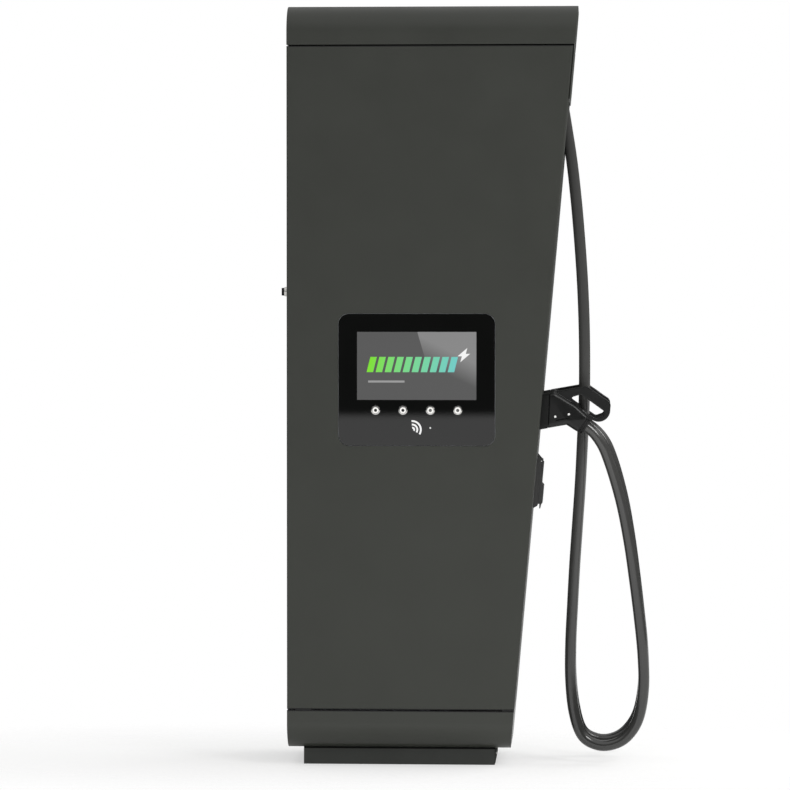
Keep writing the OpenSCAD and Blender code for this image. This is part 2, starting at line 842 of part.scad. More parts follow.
module holster(side) color([0.10, 0.10, 0.10]) difference() {
    union() {
        dock(side) translate([-head_len - 12, 0, 0]) lengthways(head_len + 12)
            head_section(head_gap + cup_wall);
        intersection() {
            dock(side) translate([-2 * bezel_t, 0, 0]) lengthways(3 * bezel_t)
                round_rect(bezel_w, bezel_h, bezel_r);
            nose() translate([0, -post_w, along(dock_z) - post_w]) cube(2 * post_w);
        }
    }
    dock(side) {
        translate([-head_len - 4, 0, 0]) lengthways(2 * head_len) head_section(head_gap);
        beyond_bezel(0);
    }
}
module holster_left() holster(-1);
module holster_right() holster(1);

module loop_outline() difference() {
    union() {
        belt([loop_bend, loop_corner, loop_end]);
        polygon(loop_web);
    }
    belt(finger_hole);
}

// Ribs across the outer edge of the grip
module grip_ribs() {
    edge = tangent(loop_bend, loop_corner);
    way = unit(edge[1] - edge[0]);
    for (i = [1:rib_count]) {
        p = edge[0] + i * rib_pitch * way - rib_d / 4 * [-way.y, way.x];
        translate([p.x, 0, p.y]) rotate([90, 0, 0])
            cylinder(d = rib_d, h = grip_w - rib_in_w, center = true, $fn = 16);
    }
}

// Everything beyond the sleeve's rear end
module beyond_neck() {
    sleeve_frame() translate([-post_w, -post_w, -sleeve_len]) cube(2 * post_w);
}

module connector_shell(side) color([0.12, 0.125, 0.12]) dock(side) difference() {
    union() {
        intersection() {
            translate([head_outline[0].x, 0, 0]) lengthways(neck_len) round_rect(shell_w, shell_h, shell_r);
            across(shell_w) polygon(head_outline);
        }
        difference() {
            translate([sleeve_exit.x, 0, sleeve_exit.y]) rotate([0, 90 + neck_tilt, 0])
                translate([0, 0, -neck_len]) cylinder(d1 = neck_root_d, d2 = neck_d, h = neck_len);
            beyond_neck();
        }
        across(grip_w) loop_outline();
        grip_ribs();
    }
    rotate([0, face_tilt, 0]) translate([shell_gap - 2 * post_w, -post_w, -post_w]) cube(2 * post_w);
    sleeve_frame() translate([0, 0, -sleeve_len]) cylinder(d = sleeve_d + 2 * seat, h = 2 * sleeve_len);
    // Fastener recesses and the latch slot
    for (p = recess_places) translate([p.x, -shell_w / 2 + cut, p.y]) rotate([90, 0, 0])
        cylinder(d = recess_d, h = 2 * cut);
    translate([latch_slot.x, -shell_w / 2 - cut, latch_slot.y])
        cube([latch_slot_len, latch_slot_h + cut, latch_slot_h]);
}
module connector_shell_left() connector_shell(-1);
module connector_shell_right() connector_shell(1);

// Frame at the cable exit: Z along the leaving cable
module sleeve_frame() {
    translate([sleeve_exit.x, 0, sleeve_exit.y]) rotate([0, 90 + sleeve_tilt, 0]) children();
}

module connector_head(side) color([0.08, 0.08, 0.08]) dock(side) difference() {
    translate([-head_len, 0, 0]) lengthways(head_len + head_gap) head_section(0);
    beyond_bezel(shell_gap);
    for (p = contact_places) translate([-head_len - cut, p.x, p.y]) bar(p.z, contact_deep + cut);
}
module connector_head_left() connector_head(-1);
module connector_head_right() connector_head(1);

module connector_sleeve(side) color([0.09, 0.09, 0.09]) dock(side) sleeve_frame()
    translate([0, 0, -sleeve_len]) rotate_extrude() polygon(concat(
        [[0, 0], [sleeve_d / 2, 0]],
        [for (i = [1, 2], c = [[0, -groove], [-groove / 2, -groove / 2], [0, 0]])
            [sleeve_d / 2 + c.x, i * sleeve_len / 3 + c.y]],
        [[sleeve_d / 2, sleeve_len - groove], [sleeve_d / 2 - groove, sleeve_len], [0, sleeve_len]]));
module connector_sleeve_left() connector_sleeve(-1);
module connector_sleeve_right() connector_sleeve(1);

// AC socket

// Frame at the socket's middle on the nose's face
module socket_frame() {
    nose() translate([0, 0, socket_s]) children();
}

module lid_axis(r, w) {
    nose() translate([hinge_n, 0, hinge_s]) rotate([90, 0, 0]) cylinder(r = r, h = w, center = true);
}

module socket_housing() color([0.14, 0.14, 0.14]) difference() {
    union() {
        socket_frame() across(socket_w) polygon([
            [0, -socket_h / 2], [socket_t - 2, -socket_h / 2 + 8], [socket_t, -socket_h / 2 + 12],
            [socket_t, socket_h / 2 - 12], [2, socket_h / 2], [0, socket_h / 2]]);
        socket_frame() translate([-well_depth, 0, 0]) bar(well_d + 2 * well_wall, well_depth);
        // Hinge ears
        intersection() {
            lid_axis(barrel_r, socket_w);
            nose() for (s = [-1, 1]) block(0, 0, [socket_h, (socket_w - lid_w) / 2 - cut, run],
                y = s * (socket_w + lid_w + 2 * cut) / 4);
        }
    }
    socket_frame() translate([-well_depth + well_wall, 0, 0]) bar(well_d, 2 * well_depth);
    lid_axis(lid_pin_d / 2 + 0.05, socket_w + 2 * cut);
    lid_axis(lid_swing_r, lid_w + 2 * cut);
}

module socket_insert() color([0.05, 0.05, 0.05]) socket_frame() difference() {
    translate([-well_depth + well_wall, 0, 0]) bar(insert_d, well_depth - well_wall - 2);
    for (a = [0:60:300]) translate([-well_depth / 2, pin_circle_r * cos(a), pin_circle_r * sin(a)])
        bar(a == 60 || a == 120 ? signal_d : pin_d, well_depth);
    translate([-well_depth / 2, 0, 0]) bar(pin_d, well_depth);
    // Flat on the upper side
    block(-well_depth + 2 * well_wall, insert_d / 2 - 3, [well_depth, insert_d, insert_d]);
}

module socket_lid() color([0.16, 0.16, 0.16]) difference() {
    union() {
        nose() translate([socket_t + seat, 0, hinge_s - 2]) across(lid_w) polygon([
            [0, 0], [lid_t - 3, 0], [lid_t, -3], [lid_t, -lid_h / 2 - 2],
            [lid_t + lid_step, -lid_h / 2 - 8], [lid_t + lid_step, -lid_h + 4],
            [lid_t + 3, -lid_h], [lid_t + 1, -lid_h - lid_tab], [lid_t - 2, -lid_h - lid_tab],
            [lid_t - 3, -lid_h], [0, -lid_h]]);
        lid_axis(barrel_r, lid_w);
    }
    lid_axis(lid_pin_d / 2 + 0.1, lid_w + 2 * cut);
}

module lid_pin() color([0.7, 0.7, 0.7]) lid_axis(lid_pin_d / 2, socket_w - cut);

// Display

module button_bore(x, d, y, len) {
    translate([x, y, button_z]) rotate([-90, 0, 0]) cylinder(d = d, h = len);
}

module fascia_glass() color([0.07, 0.075, 0.07]) difference() {
    on_display(glass_y, glass_t) glass_outline(0);
    for (x = button_xs) button_bore(x, barrel_d + barrel_gap, glass_y - cut, glass_t + 2 * cut);
}

module fascia_carrier() color([0.3, 0.3, 0.3]) difference() {
    rim_y = -half_w + sheet + seat;
    union() {
        on_display(carrier_y, carrier_t) glass_outline(carrier_edge, glass_r + 10);
        // Rim that seats behind the panel, round its cut-out
        on_display(rim_y, carrier_y + cut - rim_y) difference() {
            glass_outline(carrier_edge, glass_r + 10);
            glass_outline(rim_in, glass_r + 2);
        }
    }
    on_display(carrier_y - cut, carrier_t + 2 * cut) translate([0, screen_up])
        square([screen_w, screen_h], center = true);
    for (x = button_xs) button_bore(x, barrel_d + barrel_gap, carrier_y - cut, carrier_t + 2 * cut);
}

module display_module() color([0.35, 0.36, 0.36]) {
    on_display(carrier_back, module_t) translate([0, screen_up]) round_rect(screen_w + 22, screen_h + 16, 4);
    on_display(carrier_back + module_t - cut, board_t + cut) translate([-board_in, screen_up])
        square([board_w, board_h], center = true);
}

module button_housings() color([0.75, 0.76, 0.76]) for (x = button_xs) {
    front = glass_y - collar_t;
    difference() {
        union() {
            button_bore(x, collar_d, front, collar_t);
            button_bore(x, barrel_d, front, carrier_back + 2 * nut_t - front);
            translate([x, carrier_back, button_z]) rotate([-90, 0, 0]) cylinder(d = collar_d, h = nut_t, $fn = 6);
        }
        button_bore(x, button_d + 0.5, front - cut, carrier_back + 2 * nut_t - 2 - front + cut);
    }
}

module button_cap(i) color([0.8, 0.8, 0.8]) difference() {
    front = glass_y - collar_t - cap_proud;
    button_bore(button_xs[i], button_d, front, carrier_back + 2 * nut_t - 2 - seat - button_travel - front);
    button_bore(button_xs[i], dimple_d, front - cut, cap_proud + cut);
}
module button_1() button_cap(0);
module button_2() button_cap(1);
module button_3() button_cap(2);
module button_4() button_cap(3);

module card_reader() color([0.15, 0.2, 0.16])
    on_display(carrier_back, reader_t) translate([0, -reader_down]) round_rect(reader_w, reader_h, 4);

// Rear door

module rear_door() color([0.25, 0.26, 0.25]) difference() {
    union() {
        difference() {
            block(rear_x, door_z0, [door_depth, 2 * door_hw, door_z1 - door_z0]);
            block(rear_x + door_t, door_z0 + door_t,
                [door_depth, 2 * (door_hw - door_t), door_z1 - door_z0 - 2 * door_t]);
        }
        louvres() across(louvre_w + 2 * louvre_wall)
            polygon([[louvre_root, slot_h + 3], [-louvre_out, 0], [louvre_root, 0]]);
    }
    louvres() across(louvre_w) polygon([
        [door_t + cut, 0], [door_t + cut, slot_h], [louvre_line(slot_h), slot_h],
        [louvre_line(-cut), -cut], [0, 0]]);
    lock_axis(rear_x - cut, lock_barrel_r + seat, door_t + 2 * cut);
}

module louvres() {
    for (z = louvre_zs, i = [0:louvre_count - 1]) translate([rear_x, 0, z + i * louvre_pitch]) children();
}

// Inner slope of a louvre's hood: distance from the door's face at a height above the slot's foot
function louvre_line(z) = -louvre_out + louvre_wall + z * (louvre_out + louvre_root) / (slot_h + 3);

module door_seal() color([0.08, 0.08, 0.08]) difference() {
    block(frame_x - seal_t + seat, door_z0 - 3, [seal_t - seat, 2 * door_hw + 6, top_z1 - door_z0 + 3]);
    block(frame_x - seal_t - cut, door_z0 - 3 + seal_w,
        [seal_t + 2 * cut, 2 * (door_hw + 3 - seal_w), door_z1 - door_z0 + 6 - 2 * seal_w]);
}

module door_filters() color([0.45, 0.45, 0.42]) for (z = louvre_zs)
    block(rear_x + door_t, z - filter_edge, [filter_t, louvre_w + 2 * filter_edge, louvre_field + filter_edge + 5]);

// Knuckle and leaf of a hinge, towards +Y for the cabinet or -Y for the door
module hinge_half(side, z, bore) difference() {
    union() {
        translate([hinge_x, hinge_y, z]) cylinder(d = knuckle_d, h = knuckle_h);
        block(rear_x - leaf_t, z, [leaf_t, leaf_w, knuckle_h], y = hinge_y + side * leaf_w / 2);
    }
    translate([hinge_x, hinge_y, z - cut]) cylinder(d = bore, h = knuckle_h + 2 * cut);
}

module hinge_leaves() color([0.3, 0.3, 0.3]) for (z = hinge_zs) hinge_half(1, z, hinge_pin_d + 0.05);
module door_leaves() color([0.3, 0.3, 0.3])
    for (z = hinge_zs) hinge_half(-1, z + knuckle_h + 0.5, hinge_pin_d + 0.15);
module hinge_pins() color([0.7, 0.7, 0.7]) for (z = hinge_zs)
    translate([hinge_x, hinge_y, z - 2]) cylinder(d = hinge_pin_d, h = 2 * knuckle_h + 4.5);

// Cylinder along the lock's axis
module lock_axis(x, r, len) {
    translate([x, -lock_y, lock_z]) bar(2 * r, len);
}

module lock_body() color([0.6, 0.61, 0.6]) difference() {
    union() {
        translate([rear_x - lock_out, -lock_y, lock_z]) rotate([0, 90, 0])
            cylinder(d1 = lock_base_d - 4, d2 = lock_base_d, h = lock_out);
        lock_axis(rear_x - cut, lock_barrel_r, door_depth - 3);
        translate([rear_x + door_t, -lock_y, lock_z]) rotate([0, 90, 0]) cylinder(r = lock_nut_r, h = 6, $fn = 6);
    }
    lock_axis(rear_x - lock_out - cut, lock_shaft_r + 0.1, door_depth + 2 * lock_out);
}

module lock_knob() color([0.05, 0.05, 0.05]) {
    front = rear_x - lock_out - seat;
    lock_axis(front - 3, lock_barrel_r + 0.5, 3);
    block(front - 7.7, lock_z - lock_barrel_r, [6, 8, 2 * lock_barrel_r], y = -lock_y);
    lock_axis(front - cut, lock_shaft_r, cam_x + 2 * cam_t - front + cut);
}

module lock_cam() color([0.7, 0.7, 0.7]) difference() {
    translate([cam_x, -lock_y, lock_z]) lengthways(cam_t) {
        circle(cam_r);
        translate([-cam_w / 2, -cam_foot]) square([cam_w, cam_foot + cam_len]);
    }
    lock_axis(cam_x - cut, lock_shaft_r + 0.02, cam_t + 2 * cut);
}

// Power modules

module module_rack() color([0.6, 0.61, 0.6]) {
    for (s = [-1, 1]) {
        block(rack_x0, rack_z0, [rack_len, rack_t, rack_top - rack_z0], y = s * (rack_w - rack_t) / 2);
        for (i = [0:3]) block(rack_x0, rack_z0 + rack_foot + i * module_pitch, [rack_len, ledge, rack_t],
            y = s * (rack_w - ledge) / 2);
    }
    block(rack_x0, rack_top, [shelf_len, rack_w, rack_t]);
}

module power_modules() color([0.7, 0.71, 0.71]) for (i = [0:3])
    translate([rack_x0 + module_in, 0, rack_z0 + rack_foot + rack_t + i * module_pitch]) difference() {
        handle_y = rack_w / 2 - 32;
        handle_z = (module_h - handle_h) / 2;
        union() {
            block(0, 0, [module_len, rack_w - 2 * module_in, module_h]);
            for (s = [-1, 1])
                block(-handle_out, handle_z, [handle_out + cut, handle_w, handle_h], y = s * handle_y);
        }
        for (s = [-1, 1]) translate([-cut, s * rack_w * 0.19, module_h / 2]) difference() {
            bar(grille_d, handle_out / 2);
            bar(hub_d, handle_out / 2);
        }
        for (s = [-1, 1]) block(-handle_out / 2, handle_z + handle_w,
            [handle_out / 2, handle_w + 2 * cut, handle_h - 2 * handle_w], y = s * handle_y);
    }

// Switchgear

module mounting_plate() color([0.75, 0.75, 0.72]) {
    block(plate_x, plate_z0, [plate_t2, plate_w, plate_h], y = plate_y);
    block(plate_x, plate_z0, [plate_foot, plate_w, plate_t2], y = plate_y);
    block(plate_x - rail_t, breaker_z - rail_h / 2, [rail_t + cut, plate_w - 20, rail_h], y = plate_y);
}

module breaker_row() color([0.82, 0.82, 0.8]) for (i = [0:breaker_count - 1])
    translate([plate_x - rail_t, plate_y + (i - (breaker_count - 1) / 2) * breaker_pitch, breaker_z]) {
        block(-breaker_deep, -breaker_h / 2, [breaker_deep, breaker_pitch - breaker_slit, breaker_h]);
        block(-breaker_deep - toggle_out, -breaker_h / 4, [toggle_out + cut, breaker_pitch * 0.7, breaker_h / 2]);
        block(-breaker_deep - 2 * toggle_out, toggle_out / 4, [toggle_out + cut, breaker_pitch / 3, breaker_h / 7]);
    }

module contactors() color([0.2, 0.2, 0.21]) for (s = [-1, 1])
    translate([plate_x, s * contactor_w * 2 / 3, contactor_z]) {
        block(-contactor_deep, 0, [contactor_deep, contactor_w, contactor_h]);
        block(-contactor_deep - 10, contactor_h / 5, [10 + cut, contactor_w * 2 / 3, contactor_h * 3 / 5]);
    }

module control_unit() color([0.3, 0.34, 0.36]) translate([plate_x, plate_y, control_z]) {
    block(-control_deep, 0, [control_deep, control_w, control_h]);
    // Row of plugs along the foot
    for (i = [0:5]) block(-control_deep - 4, 20, [4 + cut, control_w / 9, 16], y = (i - 2.5) * control_w / 6.7);
}

// Frame of the main switch on the mounting plate
module switch_frame() {
    translate([plate_x - switch_deep, switch_y, switch_z]) children();
}

module main_switch() color([0.85, 0.85, 0.83]) switch_frame() difference() {
    union() {
        block(0, -switch_h / 2, [switch_deep, switch_w, switch_h]);
        translate([-6, 0, 0]) bar(knob_d + 12, 6 + cut);
    }
    translate([-6 - cut, 0, 0]) bar(switch_shaft_d + 0.2, switch_deep / 2);
}

module main_switch_knob() color([0.75, 0.1, 0.1]) switch_frame() translate([-6 - seat, 0, 0]) {
    translate([-cut, 0, 0]) bar(switch_shaft_d, switch_deep / 3);
    translate([-6, 0, 0]) bar(knob_d, 6);
    block(-22, -knob_d / 2, [16 + cut, 12, knob_d]);
}

module coolant_unit() color([0.8, 0.82, 0.84]) translate([2 * plate_x, 0, rack_top + rack_t]) {
    block(0, 0, [coolant_len, coolant_w, coolant_h]);
    translate([coolant_len / 2, 0, coolant_h - cut]) cylinder(d = coolant_w / 4, h = 25 + cut);
    block(coolant_len - cut, 20, [20 + cut, coolant_w * 0.3, coolant_h / 3]);
}

// Fans

module fan_shroud() color([0.2, 0.2, 0.2]) {
    difference() {
        union() {
            block(fan_x, fan_zs[0] - fan_d / 2 - fan_frame,
                [sheet, 2 * (inner_w - tube - seat), fan_pitch + fan_d + 2 * fan_frame]);
            for (z = fan_zs) translate([fan_x, 0, z]) bar(fan_d + 2 * fan_wall, fan_depth);
        }
        for (z = fan_zs) translate([fan_x - cut, 0, z]) bar(fan_d, fan_depth + 2 * cut);
    }
    // Spider, motor and spindle of each fan
    for (z = fan_zs) translate([fan_x, 0, z]) {
        for (a = [45, 135]) rotate([a, 0, 0])
            block(fan_depth - spider_t, -spider_w / 2, [spider_t, fan_d + fan_wall, spider_w]);
        translate([fan_depth - spider_t, 0, 0]) bar(motor_d, motor_len);
        translate([4, 0, 0]) bar(switch_shaft_d, fan_depth - 4);
    }
}

module fan_rotor(z) color([0.12, 0.12, 0.13]) translate([fan_x + sheet, 0, z]) rotate([0, 90, 0]) difference() {
    h = fan_depth - spider_t - 4;
    union() {
        cylinder(d = rotor_hub_d, h = h);
        intersection() {
            cylinder(d = fan_d - 6, h = h);
            for (i = [0:blade_count - 1]) rotate([0, 0, i * 360 / blade_count])
                translate([rotor_hub_d / 2 - 3, 0, h / 2]) rotate([blade_tilt, 0, 0])
                    translate([0, -blade_w / 2, -blade_t / 2]) cube([fan_d / 2, blade_w, blade_t]);
        }
    }
    translate([0, 0, -cut]) cylinder(d = switch_shaft_d + 0.3, h = fan_depth);
}
module fan_rotor_upper() fan_rotor(fan_zs[1]);
module fan_rotor_lower() fan_rotor(fan_zs[0]);

plinth();
plinth_cover();
base_plate();
skirt();
chassis_posts();
rear_frame();
frame_spacers();
top_plate();
roof_cap();
display_panel();
plain_panel();
nose_panel();
cable_hood();
outlet_pocket();
gland_left();
gland_right();
holster_left();
holster_right();
cable_left();
cable_right();
connector_shell_left();
connector_head_left();
connector_sleeve_left();
connector_shell_right();
connector_head_right();
connector_sleeve_right();
socket_housing();
socket_insert();
socket_lid();
lid_pin();
fascia_glass();
fascia_carrier();
display_module();
button_housings();
button_1();
button_2();
button_3();
button_4();
card_reader();
rear_door();
door_seal();
door_filters();
hinge_leaves();
door_leaves();
hinge_pins();
lock_body();
lock_knob();
lock_cam();
module_rack();
power_modules();
mounting_plate();
breaker_row();
contactors();
control_unit();
main_switch();
main_switch_knob();
fan_shroud();
fan_rotor_upper();
fan_rotor_lower();
coolant_unit();
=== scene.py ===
import json
import math

import bpy
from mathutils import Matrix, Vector

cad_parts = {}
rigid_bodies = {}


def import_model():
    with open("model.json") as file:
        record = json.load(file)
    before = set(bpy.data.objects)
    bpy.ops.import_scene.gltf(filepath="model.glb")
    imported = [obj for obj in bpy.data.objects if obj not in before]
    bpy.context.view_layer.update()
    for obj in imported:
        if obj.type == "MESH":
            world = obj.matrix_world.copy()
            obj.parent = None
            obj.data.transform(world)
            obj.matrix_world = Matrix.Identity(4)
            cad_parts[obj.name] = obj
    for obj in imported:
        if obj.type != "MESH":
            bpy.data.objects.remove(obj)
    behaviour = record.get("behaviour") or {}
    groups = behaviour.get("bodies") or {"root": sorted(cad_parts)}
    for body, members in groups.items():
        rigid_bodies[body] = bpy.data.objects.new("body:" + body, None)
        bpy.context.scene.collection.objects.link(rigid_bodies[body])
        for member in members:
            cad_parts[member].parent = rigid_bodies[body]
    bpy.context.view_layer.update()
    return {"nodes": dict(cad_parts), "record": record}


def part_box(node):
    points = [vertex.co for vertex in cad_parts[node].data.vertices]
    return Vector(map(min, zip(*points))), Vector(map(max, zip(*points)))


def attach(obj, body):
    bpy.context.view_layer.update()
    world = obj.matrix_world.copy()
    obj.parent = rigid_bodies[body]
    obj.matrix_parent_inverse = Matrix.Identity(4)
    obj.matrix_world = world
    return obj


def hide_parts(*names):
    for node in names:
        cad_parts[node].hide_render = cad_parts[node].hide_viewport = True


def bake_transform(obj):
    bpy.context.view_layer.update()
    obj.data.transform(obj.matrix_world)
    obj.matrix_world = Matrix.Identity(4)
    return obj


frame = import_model()

# The studio: a pale floor that fades into a white room, with soft light from the upper right.
# In reflections the room is dim all round between a bright ceiling and a bright floor, so that
# glass and black plastics stay dark, and the floor shows in the lower part of the glass.
scene = bpy.context.scene
scene.view_settings.view_transform = "Standard"


def add(tree, kind, values=None, **settings):
    """New shader node; values are plain values or the sockets of other nodes."""
    node = tree.nodes.new("ShaderNode" + kind)
    for name, value in settings.items():
        setattr(node, name, value)
    for key, value in (values or {}).items():
        if isinstance(value, bpy.types.NodeSocket):
            tree.links.new(value, node.inputs[key])
        else:
            node.inputs[key].default_value = value
    return node


def calc(tree, operation, *terms):
    """Result of a Math node."""
    return add(tree, "Math", dict(enumerate(terms)), operation=operation).outputs[0]


def ramp(tree, value, low, high, to_low=0.0, to_high=1.0):
    """A value stretched from one range to another and held at its ends."""
    node = add(tree, "MapRange", {"Value": value, "From Min": low, "From Max": high,
                                  "To Min": to_low, "To Max": to_high})
    return node.outputs["Result"]


def only(obj):
    """Selects one object and nothing else."""
    bpy.ops.object.select_all(action="DESELECT")
    obj.select_set(True)
    bpy.context.view_layer.objects.active = obj


room_diffuse, room_dim = 0.74, 0.035
horizon_dim, horizon_bright = -0.0361, -0.0381
ceiling_dim, ceiling_bright = 0.35, 0.65
room = bpy.data.worlds.new("studio_room")
room.use_nodes = True
scene.world = room
tree = room.node_tree
tree.nodes.clear()
way = add(tree, "SeparateXYZ", {0: add(tree, "TexCoord").outputs["Generated"]})
below = ramp(tree, way.outputs["Z"], horizon_dim, horizon_bright)
above = ramp(tree, way.outputs["Z"], ceiling_dim, ceiling_bright)
bright = calc(tree, "MAXIMUM", below, above)
mirrored = ramp(tree, bright, 0.0, 1.0, room_dim, 1.0)
ray = add(tree, "LightPath")
seen = calc(tree, "MAXIMUM", ray.outputs["Is Camera Ray"], ray.outputs["Is Transmission Ray"])
other = add(tree, "Mix", {0: ray.outputs["Is Glossy Ray"], 2: room_diffuse, 3: mirrored})
level = add(tree, "Mix", {0: seen, 2: other.outputs[0], 3: 1.0})
light = add(tree, "Background", {"Color": (1, 1, 1, 1), "Strength": level.outputs[0]})
add(tree, "OutputWorld", {"Surface": light.outputs[0]})

for lamp_name, place, aim, size, power in (
        ("key_light", Vector((3.2, -3.4, 3.8)), Vector((0.2, 0, 0.8)), 1.6, 72),
        ("rim_light", Vector((2.9, 1.4, 1.8)), Vector((0.9, -0.2, 0.3)), 2.6, 60),
        ("floor_bounce", Vector((0.3, -2.6, 0.12)), Vector((0.0, 0, 0.7)), 1.6, 23)):
    bpy.ops.object.light_add(type="AREA", location=place)
    lamp = bpy.context.object
    lamp.name = lamp_name
    lamp.data.size, lamp.data.energy = size, power
    lamp.rotation_euler = (aim - place).to_track_quat("-Z", "Y").to_euler()
    lamp.visible_glossy = lamp_name == "key_light"

floor_reach, floor_fade, floor_glow, floor_depth = 2.2, 0.35, 0.50, 2.6
floor_drop, floor_colour = 0.0004, (0.93, 0.93, 0.92, 1)
bpy.ops.mesh.primitive_circle_add(vertices=128, radius=floor_reach, fill_type="NGON",
                                  location=(0, 0, -floor_drop))
floor = bpy.context.object
floor.name = "floor"
bpy.ops.object.transform_apply()
floor_paint = bpy.data.materials.new("pale_floor")
floor_paint.use_nodes = True
tree = floor_paint.node_tree
tree.nodes.clear()
spread = add(tree, "Mapping", {"Vector": add(tree, "TexCoord").outputs["Object"],
                               "Scale": (1, floor_depth, 1)})
far = add(tree, "VectorMath", {0: spread.outputs[0]}, operation="LENGTH")
matt = add(tree, "BsdfDiffuse", {"Color": floor_colour})
white = add(tree, "Emission", {"Color": (1, 1, 1, 1), "Strength": 1.0})
lit = calc(tree, "MULTIPLY", add(tree, "LightPath").outputs["Is Camera Ray"], floor_glow)
shown = add(tree, "MixShader", {0: lit, 1: matt.outputs[0], 2: white.outputs[0]})
gone = ramp(tree, far.outputs["Value"], floor_fade, floor_reach)
clear = add(tree, "BsdfTransparent")
mixed = add(tree, "MixShader", {0: gone, 1: shown.outputs[0], 2: clear.outputs[0]})
add(tree, "OutputMaterial", {"Surface": mixed.outputs[0]})
floor.data.materials.append(floor_paint)

# The camera stands about eleven metres in front of the display side, a little above the middle.
# It looks slightly down through a long lens.
camera_place, camera_down, camera_turn = (0.55595, -10.86997, 1.41528), 0.03165, 0.05295
camera_lens, camera_film, camera_reach = 168.65, 36, 200
bpy.ops.object.camera_add(location=camera_place, rotation=(math.pi / 2 - camera_down, 0, camera_turn))
scene.camera = bpy.context.object
scene.camera.data.lens = camera_lens
scene.camera.data.sensor_width = camera_film
scene.camera.data.clip_end = camera_reach

# The plinth: a welded steel box with its anchor holes inside, closed at the nose end by a cover
# plate on two pan-head screws. It has a matt grey paint, and a black band painted along its top as
# painted shade, the shadow under the skirt's overhang.
head_r, head_h = 0.0062, 0.0028
# Shares of the head's radius (flat ring, ring round the socket, rounded edge) and height (socket)
head_ring, head_lip, head_round, head_sink = 0.30, 0.18, 0.18, 0.6
weld_gap, faces_up = 2e-6, 0.9
cover_screw_y, cover_screw_z = 0.088, 0.030
plinth_shade_from, plinth_shade_black, mask_soft = 0.0460, (0.005, 0.005, 0.005), 0.0005
cloud_low, cloud_high = 0.3, 0.7
flat_angle, sharp_angle = math.radians(0.3), math.radians(35)
home = {node: body for body, nodes in frame["record"]["behaviour"]["bodies"].items() for node in nodes}


def paint(tree, mask, colour, under):
    """Colour laid over another by a mask; each colour is a socket or red, green and blue."""
    colour, under = (c if isinstance(c, bpy.types.NodeSocket) else (*c, 1) for c in (colour, under))
    return add(tree, "Mix", {0: mask, 6: under, 7: colour}, data_type="RGBA").outputs[2]


def finish(name, dark, light, rough, grain, cloud=6.0, metal=0.0, gloss=0.5, stretch=(1, 1, 1)):
    """Finish whose colour and roughness drift in clouds, with a fine grain as relief.
    rough is (least, most); grain is (grains per metre, depth in metres)."""
    material = bpy.data.materials.new(name)
    material.use_nodes = True
    tree = material.node_tree
    shader = tree.nodes["Principled BSDF"]
    shader.inputs["Metallic"].default_value = metal
    shader.inputs["Specular IOR Level"].default_value = gloss
    place = add(tree, "TexCoord").outputs["Object"]
    place = add(tree, "Mapping", {"Vector": place, "Scale": stretch}).outputs[0]
    clouds = add(tree, "TexNoise", {"Vector": place, "Scale": cloud, "Detail": 6.0, "Roughness": 0.6})
    drift = ramp(tree, clouds.outputs["Fac"], cloud_low, cloud_high)
    colour = paint(tree, drift, light, dark)
    colour.node.name = "ground"
    tree.links.new(colour, shader.inputs["Base Color"])
    tree.links.new(ramp(tree, drift, 0, 1, *rough), shader.inputs["Roughness"])
    grains = add(tree, "TexNoise", {"Vector": place, "Scale": grain[0], "Detail": 2.0})
    relief = add(tree, "Bump", {"Height": grains.outputs["Fac"], "Distance": grain[1], "Strength": 1.0})
    tree.links.new(relief.outputs[0], shader.inputs["Normal"])
    return material


def here(tree):
    """Coordinates of the point that is shaded, as sockets X, Y and Z."""
    return add(tree, "SeparateXYZ", {0: add(tree, "TexCoord").outputs["Object"]}).outputs


def ground(tree):
    """A finish's own colour, under whatever is painted on it."""
    return tree.nodes["ground"].outputs[2]


def recolour(material, colour):
    """Gives a finish another colour than its own."""
    tree = material.node_tree
    tree.links.new(colour, tree.nodes["Principled BSDF"].inputs["Base Color"])


def at_height(tree, low, high):
    """1 between two heights and 0 elsewhere, with soft edges."""
    off = calc(tree, "ABSOLUTE", calc(tree, "SUBTRACT", here(tree)["Z"], (low + high) / 2))
    return ramp(tree, off, (high - low) / 2 + mask_soft, (high - low) / 2)


def band(material, colour, *heights):
    """Lays another colour over a finish between pairs of heights."""
    tree = material.node_tree
    top = ground(tree)
    for low, high in heights:
        top = paint(tree, at_height(tree, low, high), colour, top)
    recolour(material, top)


def coat(material, *nodes):
    """Gives solids their finish."""
    for node in nodes:
        for place in frame["nodes"][node].material_slots:
            place.material = material


def copy_of(node, name):
    """Merged copy of a solid, free to be shaped, that stands for the solid."""
    only(frame["nodes"][node])
    bpy.ops.object.duplicate()
    piece = bpy.context.object
    piece.name = piece.data.name = name
    for key in list(piece.keys()):
        del piece[key]
    bpy.ops.object.parent_clear(type="CLEAR_KEEP_TRANSFORM")
    bpy.ops.object.mode_set(mode="EDIT")
    bpy.ops.mesh.select_all(action="SELECT")
    bpy.ops.mesh.remove_doubles(threshold=weld_gap)
    bpy.ops.object.mode_set(mode="OBJECT")
    bpy.ops.mesh.customdata_custom_splitnormals_clear()
    return piece


def hand_over(piece, node, material):
    """Puts a finished piece in a solid's place."""
    piece.data.materials.clear()
    piece.data.materials.append(material)
    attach(piece, home[node])
    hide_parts(node)


